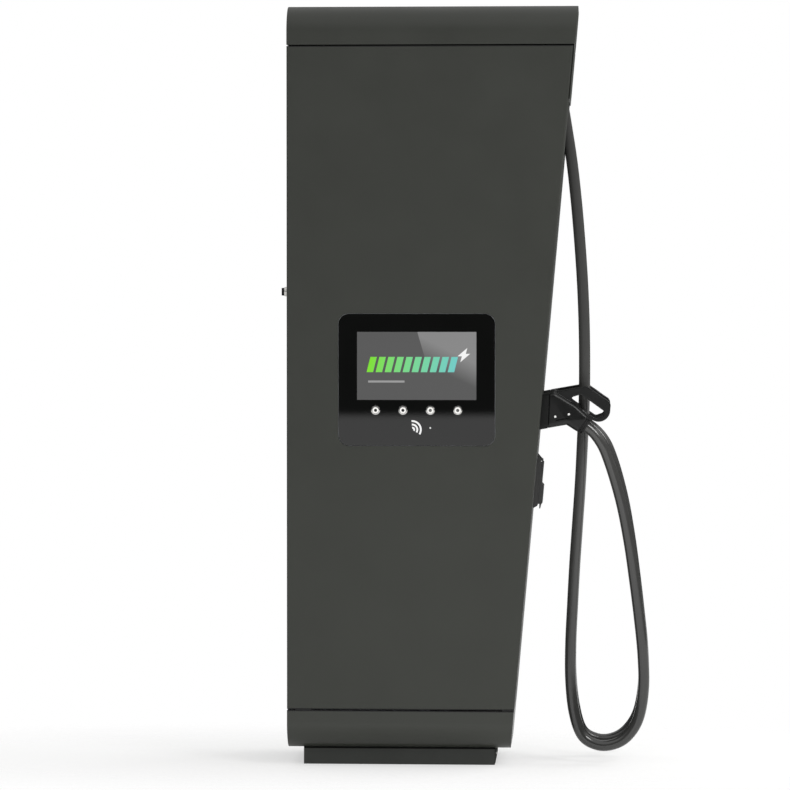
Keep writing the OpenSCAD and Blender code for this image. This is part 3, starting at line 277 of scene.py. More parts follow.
def eased(node, material, width, steps=2):
    """Copy of a solid with its sharp edges rounded."""
    piece = copy_of(node, node + "_eased")
    bpy.ops.object.mode_set(mode="EDIT")
    bpy.ops.mesh.select_all(action="SELECT")
    bpy.ops.mesh.dissolve_limited(angle_limit=flat_angle)
    bpy.ops.object.mode_set(mode="OBJECT")
    bpy.ops.object.shade_smooth()
    bevel = piece.modifiers.new("bevel", "BEVEL")
    bevel.width, bevel.segments, bevel.harden_normals = width, steps, True
    bevel.limit_method, bevel.angle_limit = "ANGLE", sharp_angle
    bpy.ops.object.modifier_apply(modifier="bevel")
    hand_over(piece, node, material)


# Model of all screw heads
bpy.ops.object.select_all(action="DESELECT")
bpy.ops.mesh.primitive_cylinder_add(vertices=24, radius=head_r, depth=head_h, location=(0, 0, head_h / 2))
screw_head = bpy.context.object
bpy.ops.object.transform_apply(location=True)
bpy.ops.object.mode_set(mode="EDIT")
bpy.ops.mesh.select_mode(type="FACE")
bpy.ops.mesh.select_all(action="DESELECT")
bpy.ops.object.mode_set(mode="OBJECT")
for face in screw_head.data.polygons:
    face.select = face.normal.z > faces_up
bpy.ops.object.mode_set(mode="EDIT")
bpy.ops.mesh.inset(thickness=head_r * head_ring, depth=0)
bpy.ops.mesh.inset(thickness=head_r * head_lip, depth=0)
bpy.ops.mesh.extrude_region_move(TRANSFORM_OT_translate={"value": (0, 0, -head_h * head_sink)})
bpy.ops.object.mode_set(mode="OBJECT")
bevel = screw_head.modifiers.new("bevel", "BEVEL")
bevel.width, bevel.segments = head_r * head_round, 3
bevel.limit_method, bevel.angle_limit = "ANGLE", math.radians(60)
bpy.ops.object.modifier_apply(modifier="bevel")
bpy.ops.object.shade_smooth_by_angle(angle=math.radians(40))


def twin(model, name, place, turn=(0, 0, 0), scale=(1, 1, 1)):
    """Copy of a model with its own mesh, set in its place."""
    only(model)
    bpy.ops.object.duplicate()
    piece = bpy.context.object
    piece.name = piece.data.name = name
    piece.location, piece.rotation_euler, piece.scale = place, turn, scale
    bpy.ops.object.transform_apply(location=True, rotation=True, scale=True)
    return piece


def screw(name, place, axis, radius, tall, material, body):
    """Screw with a rounded head and a sunk socket, standing on a face."""
    turn = Vector(axis).to_track_quat("Z", "Y").to_euler()
    head = twin(screw_head, name, place, turn, (radius / head_r, radius / head_r, tall / head_h))
    head.data.materials.append(material)
    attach(head, body)
    return head


plinth_paint = finish("plinth_paint", (0.043, 0.045, 0.042), (0.049, 0.051, 0.048), (0.62, 0.72),
                      (1300, 0.00006), cloud=9, gloss=0.0)
# Black band along the plinth's top: painted shade under the overhanging skirt
band(plinth_paint, plinth_shade_black, (plinth_shade_from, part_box("plinth")[1][2] + mask_soft))
bright_steel = finish("bright_steel", (0.60, 0.60, 0.59), (0.74, 0.74, 0.72), (0.22, 0.34),
                      (2600, 0.00002), cloud=180, metal=1.0)
eased("plinth", plinth_paint, 0.0014)
eased("plinth_cover", plinth_paint, 0.0008)
cover_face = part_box("plinth_cover")[1][0]
for side, y in (("left", -cover_screw_y), ("right", cover_screw_y)):
    screw("plinth_cover_screw_" + side, (cover_face, y, cover_screw_z), (1, 0, 0), head_r, head_h,
          bright_steel, "cabinet")

# The frame inside: zinc-plated steel plates and square tubes, cut, folded and welded together.
# The zinc shows as soft patches, with the faint lines of the rolled sheet. Behind the lower seam of
# the covers, the posts, their spacers and the rear frame get a black band of painted shade.
zinc_look = ((0.40, 0.42, 0.44), (0.54, 0.56, 0.58), (0.30, 0.46), (900, 0.00003), 55)
zinc_stretch = (1, 1, 0.5)
skirt_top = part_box("skirt")[1][2]
# Black, non-metal band behind the lower seam: painted shade of the seam gap
post_shade_down, post_shade_up, post_shade_black = 0.059, 0.011, (0.006, 0.006, 0.006)
post_shade_span = (skirt_top - post_shade_down, skirt_top + post_shade_up)
zinc = finish("zinc_plated_sheet", *zinc_look, metal=1.0, stretch=zinc_stretch)
coat(zinc, "base_plate", "top_plate", "fascia_carrier", "module_rack", "mounting_plate")
zinc_with_painted_shade = finish("zinc_with_painted_shade", *zinc_look, stretch=zinc_stretch)
band(zinc_with_painted_shade, post_shade_black, post_shade_span)
tree = zinc_with_painted_shade.node_tree
metal_outside_shade = calc(tree, "SUBTRACT", 1.0, at_height(tree, *post_shade_span))
tree.links.new(metal_outside_shade, tree.nodes["Principled BSDF"].inputs["Metallic"])
coat(zinc_with_painted_shade, "chassis_posts", "frame_spacers", "rear_frame")

# The outer covers: folded sheet steel with a fine-textured powder coat in dark grey, smoother and
# a little darker on the skirt. The skirt, roof cap and hood are pressed with wide rounded edges, and
# black bands along their seams with the panels are painted shade of the seam gaps.
seam_shade_h, seam_shade_black = 0.0026, (0.003, 0.003, 0.003)
powder_coat = finish("powder_coat", (0.0258, 0.0278, 0.0228), (0.0290, 0.0312, 0.0258), (0.44, 0.52),
                     (900, 0.00014), cloud=5, gloss=0.42)
panel_low, panel_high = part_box("display_panel")
# Black bands at the seams: painted shade of the gaps between covers and panels
band(powder_coat, seam_shade_black, (skirt_top - seam_shade_h, panel_low[2] + seam_shade_h),
     (panel_high[2] - seam_shade_h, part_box("roof_cap")[0][2] + seam_shade_h))
coat(powder_coat, "display_panel", "plain_panel", "nose_panel")
skirt_coat = finish("skirt_coat", (0.0230, 0.0249, 0.0200), (0.0260, 0.0281, 0.0229), (0.30, 0.36),
                    (900, 0.00005), cloud=5, gloss=0.5)
# Black band at the skirt's top: painted shade of the seam gap
band(skirt_coat, seam_shade_black, (skirt_top - seam_shade_h, panel_low[2]))
eased("skirt", skirt_coat, 0.0010)
eased("roof_cap", powder_coat, 0.0012)
eased("cable_hood", powder_coat, 0.0016, 3)

# The cable outlet: a black moulded pocket let into the nose, with a rubber gland for each cable.
# The glands clamp the cables from behind the pocket's slanting roof.
black_plastic = finish("moulded_black_plastic", (0.0055, 0.0058, 0.0055), (0.0085, 0.0088, 0.0084),
                       (0.44, 0.58), (1600, 0.00005), cloud=20, gloss=0.22)
black_rubber = finish("black_rubber", (0.010, 0.010, 0.010), (0.016, 0.016, 0.016), (0.6, 0.75),
                      (1100, 0.00006), cloud=30, gloss=0.3)
coat(black_plastic, "outlet_pocket")
coat(black_rubber, "gland_left", "gland_right")

# The holsters: black moulded cups behind rounded bezels, set in openings of the nose panel.
# Each takes the head of a parked connector.
for side in ("left", "right"):
    eased("holster_" + side, black_plastic, 0.0006)

# The connectors: a black moulded shell with a loop handle and a thick neck, with well-rounded edges,
# a latch slot and two screws. The contact head is in front, and a rubber sleeve takes the cable in.
sides = {"left": -1, "right": 1}
dock_tilt = math.radians(10)
dock_mid = (0.433237, 0.135, 1.0315)
face_tilt, shell_gap = math.radians(12.45), 0.0006
shell_half, shell_up, shell_round, round_steps = 0.032, 0.050, 0.012, 6
neck_half, neck_from, neck_below = 0.029, 0.060, -0.02
grip_half = 0.0162
slot_from, slot_size, slot_round = (0.015, -0.033), (0.042, 0.003), 0.48
screw_outs, screw_up = {"front": 0.016, "rear": 0.056}, -0.0205
shell_screw_r, shell_screw_h = 0.0034, 0.0012
voxel, smooth_share, smooth_rounds = 0.0011, 0.5, 9
tiny = 1e-5
shell_plastic = finish("connector_plastic", (0.0040, 0.0043, 0.0041), (0.0058, 0.0061, 0.0059),
                       (0.28, 0.36), (1400, 0.00004), cloud=24, gloss=0.4)
bright_zinc = finish("bright_zinc", (0.80, 0.80, 0.78), (0.88, 0.88, 0.86), (0.30, 0.40),
                     (2600, 0.00002), cloud=180, metal=0.2)


def dock_point(side, out, across, up):
    """Point in the frame of a parked connector: outward along its axis, across, up."""
    return Vector((dock_mid[0] + out * math.cos(dock_tilt) - up * math.sin(dock_tilt),
                   sides[side] * dock_mid[1] + across,
                   dock_mid[2] + out * math.sin(dock_tilt) + up * math.cos(dock_tilt)))


def face_out(up):
    """Place of the shell's front face at a height."""
    return (shell_gap + up * math.sin(face_tilt)) / math.cos(face_tilt)


# Head and neck in the connector's own frame: their side view (out, up) is drawn out across, and
# the long edges are rounded
outline = [(face_out(-shell_up), -shell_up), (0.0440, -shell_up), (0.0705, -0.0742), (0.1090, -0.0346),
           (0.0820, 0.0), (0.0256, shell_up), (face_out(shell_up), shell_up)]
bpy.ops.object.select_all(action="DESELECT")
bpy.ops.mesh.primitive_circle_add(vertices=len(outline), radius=shell_up, fill_type="NGON")
bulk = bpy.context.object
for vertex, (out, up) in zip(bulk.data.vertices, outline):
    vertex.co = (out, -shell_half, up)
bpy.ops.object.mode_set(mode="EDIT")
bpy.ops.mesh.select_mode(type="EDGE")
bpy.ops.mesh.select_all(action="SELECT")
bpy.ops.mesh.extrude_region_move(TRANSFORM_OT_translate={"value": (0, 2 * shell_half, 0)})
bpy.ops.mesh.select_all(action="SELECT")
bpy.ops.mesh.normals_make_consistent(inside=False)
bpy.ops.mesh.select_all(action="DESELECT")
bpy.ops.object.mode_set(mode="OBJECT")
for vertex in bulk.data.vertices:
    if vertex.co.x > neck_from:
        half = neck_half if vertex.co.z < neck_below else (neck_half + shell_half) / 2
        vertex.co.y = math.copysign(half, vertex.co.y)
for edge in bulk.data.edges:
    p, q = (bulk.data.vertices[k].co for k in edge.vertices)
    in_front = all(abs(v.x - face_out(v.z)) < tiny for v in (p, q))
    at_end = min(p.x, q.x) > neck_from and max(p.z, q.z) < neck_below
    edge.select = p.y * q.y > 0 and not in_front and not at_end
bpy.ops.object.mode_set(mode="EDIT")
bpy.ops.mesh.bevel(offset=shell_round, segments=round_steps, affect="EDGES")
bpy.ops.object.mode_set(mode="OBJECT")
# Cutter of the latch slot, a bar with round ends
bpy.ops.object.select_all(action="DESELECT")
slot_mid = (slot_from[0] + slot_size[0] / 2, -shell_half, slot_from[1] + slot_size[1] / 2)
bpy.ops.mesh.primitive_cube_add(size=1, scale=(slot_size[0], 2 * slot_size[1], slot_size[1]),
                                location=slot_mid)
slot_bar = bpy.context.object
bpy.ops.object.transform_apply(location=True, scale=True)
for edge in slot_bar.data.edges:
    p, q = (slot_bar.data.vertices[k].co for k in edge.vertices)
    edge.select = abs(p.y - q.y) > slot_size[1]
bpy.ops.object.mode_set(mode="EDIT")
bpy.ops.mesh.select_mode(type="EDGE")
bpy.ops.mesh.bevel(offset=slot_round * slot_size[1], segments=round_steps, affect="EDGES")
bpy.ops.object.mode_set(mode="OBJECT")

shells, view_layer = {}, bpy.context.view_layer
for side in sides:
    # The loop handle comes from the solid, between the two sides of its plate
    shell = copy_of("connector_shell_" + side, "connector_moulding_" + side)
    bpy.ops.object.mode_set(mode="EDIT")
    for way in (-1, 1):
        bpy.ops.mesh.select_all(action="SELECT")
        bpy.ops.mesh.bisect(plane_co=dock_point(side, 0, way * grip_half, 0), plane_no=(0, way, 0),
                            use_fill=True, clear_outer=True)
    bpy.ops.object.mode_set(mode="OBJECT")
    block = twin(bulk, "connector_bulk_" + side, dock_point(side, 0, 0, 0), (0, -dock_tilt, 0))
    only(shell)
    block.select_set(True)
    bpy.ops.object.join()
    remesh = shell.modifiers.new("remesh", "REMESH")
    remesh.mode, remesh.voxel_size = "VOXEL", voxel
    bpy.ops.object.modifier_apply(modifier="remesh")
    smooth = shell.modifiers.new("smooth", "SMOOTH")
    smooth.factor, smooth.iterations = smooth_share, smooth_rounds
    bpy.ops.object.modifier_apply(modifier="smooth")
    cutter = twin(slot_bar, "slot_cutter", dock_point(side, 0, 0, 0), (0, -dock_tilt, 0))
    slot = shell.modifiers.new("slot", "BOOLEAN")
    slot.object = cutter
    only(shell)
    bpy.ops.object.modifier_apply(modifier="slot")
    bpy.data.objects.remove(cutter)
    bpy.ops.object.shade_smooth_by_angle(angle=math.radians(65))
    hand_over(shell, "connector_shell_" + side, shell_plastic)
    shells[side] = [shell]
    # The screws stand on the moulding's side, where a ray across finds it
    view_layer.update()
    for place, out in screw_outs.items():
        aside = dock_point(side, out, -2 * shell_half, screw_up)
        found, seat, _, _ = shell.ray_cast(aside, (0, 1, 0), depsgraph=view_layer.depsgraph)
        shells[side].append(screw(
            "shell_screw_" + place + "_" + side, seat if found else aside, (0, -1, 0),
            shell_screw_r, shell_screw_h, bright_zinc, "connector_" + side))
    coat(shell_plastic, "connector_head_" + side)
    coat(black_rubber, "connector_sleeve_" + side)
bpy.data.objects.remove(bulk)
bpy.data.objects.remove(slot_bar)

# The charging cables: a thick round rubber jacket over the copper cores and their coolant hoses.
# Each hangs from a gland under the cable hood, turns in a loop above the floor and rises to its
# connector. The routes are the ones of the solids.
cable_d, jacket_ease, jacket_steps = 0.033, 0.0001, 6
foot_x, foot_gap, lean_slope = 0.325, 0.050, 190 / 2150
gland_y, cable_spread = 0.070, 1.8
gland_lead, sleeve_lead = 0.140, 0.130
seam_gap = 1e-6
# Routes (x, z) in millimetres, the leg from the leaning nose and the loop from the dock
cable_leg = [
    (-23, 1941), (-4.8, 1870), (23.3, 1755), (46.5, 1640), (66.7, 1525), (84.8, 1410), (100, 1295),
    (112.6, 1175), (122.2, 1055), (127.8, 935), (132.4, 815), (135, 695), (137.6, 575), (141.8, 460),
    (146.5, 350), (155.8, 245), (174.2, 150)]
cable_loop = {
    "left": [
        (98.5, 82), (140.5, 55), (186.5, 56), (228.5, 80), (261.5, 133), (276.5, 220), (274.5, 320),
        (263.5, 430), (249.5, 540), (233.5, 650), (210.5, 766), (178.5, 875), (150.5, 940)],
    "right": [
        (96.5, 77), (138.5, 49), (186.5, 49), (230.5, 75), (264.5, 130), (279.5, 218), (277.5, 320),
        (266.5, 430), (253.5, 540), (238.5, 650), (217.5, 766), (187.5, 875), (157.5, 940)]}
sleeve_exit, sleeve_tilt = (0.100, -0.0665), math.radians(42)
gland_tilt = math.radians(9)


def cable_path(side, steps=8):
    """Smooth line through a cable's route, from its gland to its connector."""
    line = [(foot_x + (z / 1000 - foot_gap) * lean_slope + x / 1000, z / 1000) for x, z in cable_leg]
    line += [(dock_mid[0] + x / 1000, z / 1000) for x, z in cable_loop[side]]
    last = len(line) - 1
    points = []
    for i, (x, z) in enumerate(line):
        y = gland_y + (dock_mid[1] - gland_y) * (i / last) ** cable_spread
        points.append(Vector((x, sides[side] * y, z)))
    down = Vector((math.sin(gland_tilt), 0, -math.cos(gland_tilt)))
    out = Vector((math.cos(sleeve_tilt - dock_tilt), 0, -math.sin(sleeve_tilt - dock_tilt)))
    end = dock_point(side, sleeve_exit[0], 0, sleeve_exit[1])
    line = [points[1] - gland_lead * down, *points, end, points[-1] - sleeve_lead * out]
    path = []
    for a, b, c, d in zip(line, line[1:], line[2:], line[3:]):
        for k in range(steps):
            t = k / steps
            path.append(0.5 * (2 * b + (c - a) * t + (2 * a - 5 * b + 4 * c - d) * t * t
                               + (3 * b - a - 3 * c + d) * t ** 3))
    return path + [end]


def tube(name, lines, radius, steps, material, rings=0):
    """Round bars along lines of points, in one mesh; the first lines are closed to rings."""
    bars = bpy.data.curves.new(name, "CURVE")
    bars.dimensions, bars.use_fill_caps = "3D", True
    bars.bevel_depth, bars.bevel_resolution = radius, steps
    for n, line in enumerate(lines):
        spline = bars.splines.new("POLY")
        spline.points.add(len(line) - 1)
        for point, p in zip(spline.points, line):
            point.co = (*p, 1)
        spline.use_cyclic_u = n < rings
    piece = bpy.data.objects.new(name, bars)
    scene.collection.objects.link(piece)
    only(piece)
    bpy.ops.object.convert(target="MESH")
    piece = bpy.context.object
    bpy.ops.object.mode_set(mode="EDIT")
    bpy.ops.mesh.select_all(action="SELECT")
    bpy.ops.mesh.remove_doubles(threshold=seam_gap)
    bpy.ops.mesh.normals_make_consistent(inside=False)
    bpy.ops.object.mode_set(mode="OBJECT")
    bpy.ops.object.shade_smooth_by_angle(angle=math.radians(50))
    piece.data.materials.clear()
    piece.data.materials.append(material)
    return piece


cable_rubber = finish("cable_rubber", (0.026, 0.026, 0.025), (0.031, 0.031, 0.030), (0.10, 0.15),
                      (700, 0.00002), cloud=14, gloss=0.65)
# The jacket is painted paler higher up: painted light from above, darker towards the floor
painted_light_from, painted_light_to, painted_light_colour = 0.15, 1.15, (0.058, 0.058, 0.056)
tree = cable_rubber.node_tree
painted_light_share = ramp(tree, here(tree)["Z"], painted_light_from, painted_light_to)
recolour(cable_rubber, paint(tree, painted_light_share, painted_light_colour, ground(tree)))
for side in sides:
    path = cable_path(side)
    cable = tube("charging_cable_" + side, [path], cable_d / 2 - jacket_ease, jacket_steps, cable_rubber)
    # Lengths along the cable from the gland to each point
    run = [0.0]
    for p, q in zip(path, path[1:]):
        run.append(run[-1] + (q - p).length)
    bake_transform(cable)
    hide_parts("cable_" + side)

# The AC socket: a black moulded box on the nose with a round well, and an insert with the pin
# holes. A sprung lid with a finger tab hangs over it on a steel pin.
socket_plastic = finish("socket_plastic", (0.040, 0.040, 0.039), (0.048, 0.048, 0.047), (0.40, 0.52),
                        (1500, 0.00005), cloud=22, gloss=0.35)
eased("socket_housing", socket_plastic, 0.0010)
eased("socket_lid", socket_plastic, 0.0010)
coat(shell_plastic, "socket_insert")
coat(bright_steel, "lid_pin")

# The display fascia: one sheet of toughened glass printed black on its back, with a clear window
# for the screen. The screen shows a plain charge bar with a bolt, and three arcs mark the card
# reader.
screen_mid, screen_half = (0.054, 1.1615), (0.172, 0.098)
print_dark, print_light = (0.0026, 0.0028, 0.0026), (0.0031, 0.0033, 0.0031)
screen_grey, glint_grey = (0.094, 0.094, 0.094), (0.222, 0.222, 0.222)
glint_edge, glint_lean = 0.0017, 0.2956
glint_middle, glint_fall, glint_fade = (0.0257, 0.0168), 0.49, (-0.010, 0.060)
bar_start, bar_pitch, bar_fill, bar_slant, bar_count = -0.140, 0.026, 0.72, 0.25, 10
bar_foot, bar_top = -0.018, 0.026
bar_first, bar_last = (0.195, 0.672, 0.032), (0.156, 0.527, 0.515)
line_u, line_v, line_grey = (-0.140, -0.035), (-0.048, -0.042), (0.30, 0.30, 0.30)
bolt_mid = (0.136, 0.0315)
bolt_half = ((0.010, 0.0205), (-0.018, -0.0035), (0.004, -0.0035))
arc_centre, arc_radii, arc_width = (-0.0125, -0.1836), (0.0055, 0.0145, 0.0245), 0.0050
arc_aim, arc_half = math.radians(31), math.radians(64)
lamp_place, lamp_r = (0.0393, -0.1787), 0.0026
print_white, lamp_grey = (0.80, 0.80, 0.80), (0.62, 0.63, 0.62)
edge_soft = 0.0006

glass = finish("printed_glass", print_dark, print_light, (0.008, 0.012), (300, 0.000002),
               cloud=12, gloss=0.6)
tree = glass.node_tree
place = here(tree)
u = calc(tree, "SUBTRACT", place["X"], screen_mid[0])
v = calc(tree, "SUBTRACT", place["Z"], screen_mid[1])


def over(value, limit):
    """1 where a value is above a limit, with a soft edge."""
    return ramp(tree, value, limit - edge_soft / 2, limit + edge_soft / 2)


def below_limit(value, limit):
    """1 where a value is below a limit, with a soft edge."""
    return calc(tree, "SUBTRACT", 1.0, over(value, limit))


def between(value, low, high):
    """1 where a value is between two limits."""
    return calc(tree, "MULTIPLY", over(value, low), below_limit(value, high))


def within(*masks):
    """Product of masks."""
    result = masks[0]
    for mask in masks[1:]:
        result = calc(tree, "MULTIPLY", result, mask)
    return result


def beside(a, b):
    """Distance from the line through two points, on the right of the way from a to b."""
    dx, dz = b[0] - a[0], b[1] - a[1]
    far = math.hypot(dx, dz)
    return calc(tree, "ADD", calc(tree, "MULTIPLY", calc(tree, "SUBTRACT", u, a[0]), dz / far),
                calc(tree, "MULTIPLY", calc(tree, "SUBTRACT", v, a[1]), -dx / far))


def inside(corners):
    """1 inside a triangle with clockwise corners."""
    return within(*(over(beside(a, b), 0.0) for a, b in zip(corners, corners[1:] + corners[:1])))


def apart(tree, x, z):
    """Distance to a point that is x and z away."""
    squares = calc(tree, "ADD", calc(tree, "MULTIPLY", x, x), calc(tree, "MULTIPLY", z, z))
    return calc(tree, "SQRT", squares)


window = within(below_limit(calc(tree, "ABSOLUTE", u), screen_half[0]),
                below_limit(calc(tree, "ABSOLUTE", v), screen_half[1]))
colour = paint(tree, window, screen_grey, ground(tree))
# Painted reflection: a lighter glint at the upper right of the screen picture
slant = calc(tree, "SUBTRACT", u, calc(tree, "ADD", glint_edge, calc(
    tree, "MULTIPLY", glint_lean, calc(tree, "SUBTRACT", screen_half[1], v))))
rise = calc(tree, "SUBTRACT", v, calc(tree, "SUBTRACT", glint_middle[1], calc(
    tree, "MULTIPLY", glint_fall, calc(tree, "SUBTRACT", u, glint_middle[0]))))
glint_mask = within(window, over(slant, 0.0), ramp(tree, rise, *glint_fade))
colour = paint(tree, glint_mask, glint_grey, colour)
# Charge bar of slanting segments, from green to blue-green, with a short bare line below it
step = calc(tree, "DIVIDE", calc(tree, "SUBTRACT", calc(tree, "SUBTRACT", u, bar_start),
                                 calc(tree, "MULTIPLY", v, bar_slant)), bar_pitch)
filled = calc(tree, "LESS_THAN", calc(tree, "FRACT", step), bar_fill)
bar = within(filled, between(v, bar_foot, bar_top), calc(tree, "GREATER_THAN", step, 0.0),
             calc(tree, "LESS_THAN", step, float(bar_count)))
shade = paint(tree, ramp(tree, step, 0, bar_count), bar_last, bar_first)
colour = paint(tree, bar, shade, colour)
colour = paint(tree, within(between(u, *line_u), between(v, *line_v)), line_grey, colour)
# Bolt: a triangle and the same one turned half round
for way in (1, -1):
    corners = [(bolt_mid[0] + way * x, bolt_mid[1] + way * z) for x, z in reversed(bolt_half)]
    colour = paint(tree, inside(corners), print_white, colour)
# Three arcs over the card reader, and a small lamp beside them
from_x = calc(tree, "SUBTRACT", u, arc_centre[0])
from_z = calc(tree, "SUBTRACT", v, arc_centre[1])
reach = apart(tree, from_x, from_z)
along = calc(tree, "ADD", calc(tree, "MULTIPLY", from_x, math.cos(arc_aim)),
             calc(tree, "MULTIPLY", from_z, math.sin(arc_aim)))
turned = calc(tree, "DIVIDE", along, calc(tree, "MAXIMUM", reach, tiny))
wedge = calc(tree, "GREATER_THAN", turned, math.cos(arc_half))
for radius in arc_radii:
    ring = within(between(reach, radius - arc_width / 2, radius + arc_width / 2), wedge)
    colour = paint(tree, ring, print_white, colour)
to_lamp = apart(tree, calc(tree, "SUBTRACT", u, lamp_place[0]),
                calc(tree, "SUBTRACT", v, lamp_place[1]))
colour = paint(tree, below_limit(to_lamp, lamp_r), lamp_grey, colour)
recolour(glass, colour)
eased("fascia_glass", glass, 0.0008)
grey_plastic = finish("grey_plastic", (0.085, 0.088, 0.088), (0.115, 0.118, 0.118), (0.42, 0.55),
                      (1200, 0.00005), cloud=25)
coat(grey_plastic, "display_module", "card_reader")

# The push-buttons: turned stainless collars with polished round edges, clamped through the glass
# by nuts. Each holds a sprung satin cap with a dark lens and a lamp in its middle.
button_boxes = [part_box("button_%d" % n) for n in range(1, 5)]
button_mids = [(low[0] + high[0]) / 2 for low, high in button_boxes]
button_z = (button_boxes[0][0][2] + button_boxes[0][1][2]) / 2
lens_r, dot_r, lens_soft = 0.0044, 0.0014, 0.0003
lens_black, dot_grey = (0.025, 0.025, 0.025), (0.25, 0.25, 0.25)
rim_rounds, rim_split, rim_steps = {"outer": 0.0020, "inner": 0.0012}, 0.011, 5
polished_steel = finish("polished_steel", (0.74, 0.73, 0.71), (0.82, 0.81, 0.79), (0.08, 0.14),
                        (3000, 0.00001), cloud=300, metal=1.0)
collars = copy_of("button_housings", "button_collars")
collar_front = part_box("button_housings")[0][1]
bpy.ops.object.mode_set(mode="EDIT")
bpy.ops.mesh.select_mode(type="EDGE")
bpy.ops.mesh.select_all(action="SELECT")
bpy.ops.mesh.dissolve_limited(angle_limit=flat_angle)
for rim, width in rim_rounds.items():
    bpy.ops.mesh.select_all(action="DESELECT")
    bpy.ops.object.mode_set(mode="OBJECT")
    for edge in collars.data.edges:
        ends = [collars.data.vertices[k].co for k in edge.vertices]
        far = [min(math.hypot(p.x - x, p.z - button_z) for x in button_mids) for p in ends]
        outer = [r > rim_split for r in far]
        edge.select = all(p.y < collar_front + tiny for p in ends) and outer == [rim == "outer"] * 2
    bpy.ops.object.mode_set(mode="EDIT")
    bpy.ops.mesh.bevel(offset=width, segments=rim_steps, affect="EDGES")
bpy.ops.object.mode_set(mode="OBJECT")
bpy.ops.object.shade_smooth_by_angle(angle=math.radians(40))
hand_over(collars, "button_housings", polished_steel)
for n, mid_x in enumerate(button_mids, 1):
    cap = finish("button_cap_%d" % n, (0.84, 0.83, 0.80), (0.90, 0.89, 0.86), (0.30, 0.40),
                 (3000, 0.00002), cloud=300, metal=0.1)
    tree = cap.node_tree
    place = here(tree)
    off = apart(tree, calc(tree, "SUBTRACT", place["X"], mid_x),
                calc(tree, "SUBTRACT", place["Z"], button_z))
    colour = ground(tree)
    for radius, tone in ((lens_r, lens_black), (dot_r, dot_grey)):
        colour = paint(tree, ramp(tree, off, radius + lens_soft, radius - lens_soft), tone, colour)
    recolour(cap, colour)
    eased("button_%d" % n, cap, 0.0008, 3)

# The rear door: a folded sheet-steel pan with two fields of pressed louvres, powder-coated like
# the covers. It closes on a rubber seal, with felt filters behind the louvres.
filter_felt = finish("filter_felt", (0.17, 0.165, 0.15), (0.27, 0.26, 0.24), (0.85, 0.95),
                     (2400, 0.0005), cloud=60, gloss=0.2)
coat(powder_coat, "rear_door")
coat(black_rubber, "door_seal")
coat(filter_felt, "door_filters")

# The hinges: lift-off hinges with welded knuckles on bright steel pins, painted with the cabinet.
# Each leaf is held by two small screws.
hinge_paint = finish("hinge_paint", (0.036, 0.038, 0.036), (0.043, 0.045, 0.042), (0.36, 0.46),
                     (900, 0.00008), cloud=30)
coat(hinge_paint, "hinge_leaves", "door_leaves")
coat(bright_steel, "hinge_pins")
leaf_face, hinge_y, hinge_feet = -0.325, 0.2045, (0.350, 1.125, 1.900)
knuckle_h, knuckle_gap, leaf_reach = 0.032, 0.0005, 0.0088
leaf_screw_ups, leaf_screw_r, leaf_screw_h = {"a": 0.008, "b": 0.024}, 0.0026, 0.0014
for n, z in enumerate(hinge_feet, 1):
    for name, y, foot, body in (("frame", hinge_y + leaf_reach, z, "cabinet"),
                                ("door", hinge_y - leaf_reach, z + knuckle_h + knuckle_gap, "door")):
        for k, up in leaf_screw_ups.items():
            screw("hinge_screw_%d_%s_%s" % (n, name, k), (leaf_face, y, foot + up), (-1, 0, 0),
                  leaf_screw_r, leaf_screw_h, bright_steel, body)
bpy.data.objects.remove(screw_head)

# The lock: a quarter-turn lock with a turned steel body nutted to the door, a black wing knob
# outside, and a zinc-plated cam that turns behind the frame's edge.
turned_steel = finish("turned_steel", (0.62, 0.61, 0.58), (0.74, 0.73, 0.70), (0.26, 0.36),
                      (3000, 0.00002), cloud=300, metal=0.35)
eased("lock_body", turned_steel, 0.0008)
eased("lock_knob", black_plastic, 0.0009)
coat(zinc, "lock_cam")

# The power modules: four drawers of plain aluminium sheet in the rack, each with two handles and
# two fans behind wire guards.
module_metal = finish("module_aluminium", (0.50, 0.51, 0.52), (0.62, 0.63, 0.64), (0.32, 0.46),
                      (1200, 0.00004), cloud=30, metal=1.0, stretch=(1, 0.2, 4))
coat(module_metal, "power_modules")
wire_r, guard_rings, guard_reach, guard_hub = 0.0012, (0.027, 0.036, 0.045), 0.0523, 0.0177
wire_steps, ring_degrees, eye_degrees, eye_share = 2, range(0, 360, 9), range(30, 331, 30), 2.6
first_spoke = math.radians(45)
module_fan_y, module_fan_z, module_pitch, module_count = 0.06916, 0.075, 0.170, 4
module_face, guard_stand = 0.014, 0.0022


def on_circle(radius, degrees):
    """Point of a circle round the origin."""
    return radius * math.cos(math.radians(degrees)), radius * math.sin(math.radians(degrees))


def wire_guard(name, rings, hub, reach, wire, spokes=4):
    """Model of a fan guard, square to X: wire rings welded on spokes that end in screw eyes."""
    lines = [[(0, *on_circle(radius, a)) for a in ring_degrees] for radius in rings]
    eye = eye_share * wire
    for k in range(spokes):
        turn = first_spoke + k * 2 * math.pi / spokes
        spoke = [(hub, 0), (reach - eye, 0)]
        spoke += [(reach - x, z) for x, z in (on_circle(eye, a) for a in eye_degrees)]
        cos, sin = math.cos(turn), math.sin(turn)
        lines.append([(0, r * cos - t * sin, r * sin + t * cos) for r, t in spoke])
    return tube(name, lines, wire, wire_steps, bright_steel, len(rings))


def fit_guard(model, name, place):
    """Sets a copy of a guard in front of its fan."""
    guard = twin(model, name, place)
    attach(guard, "cabinet")


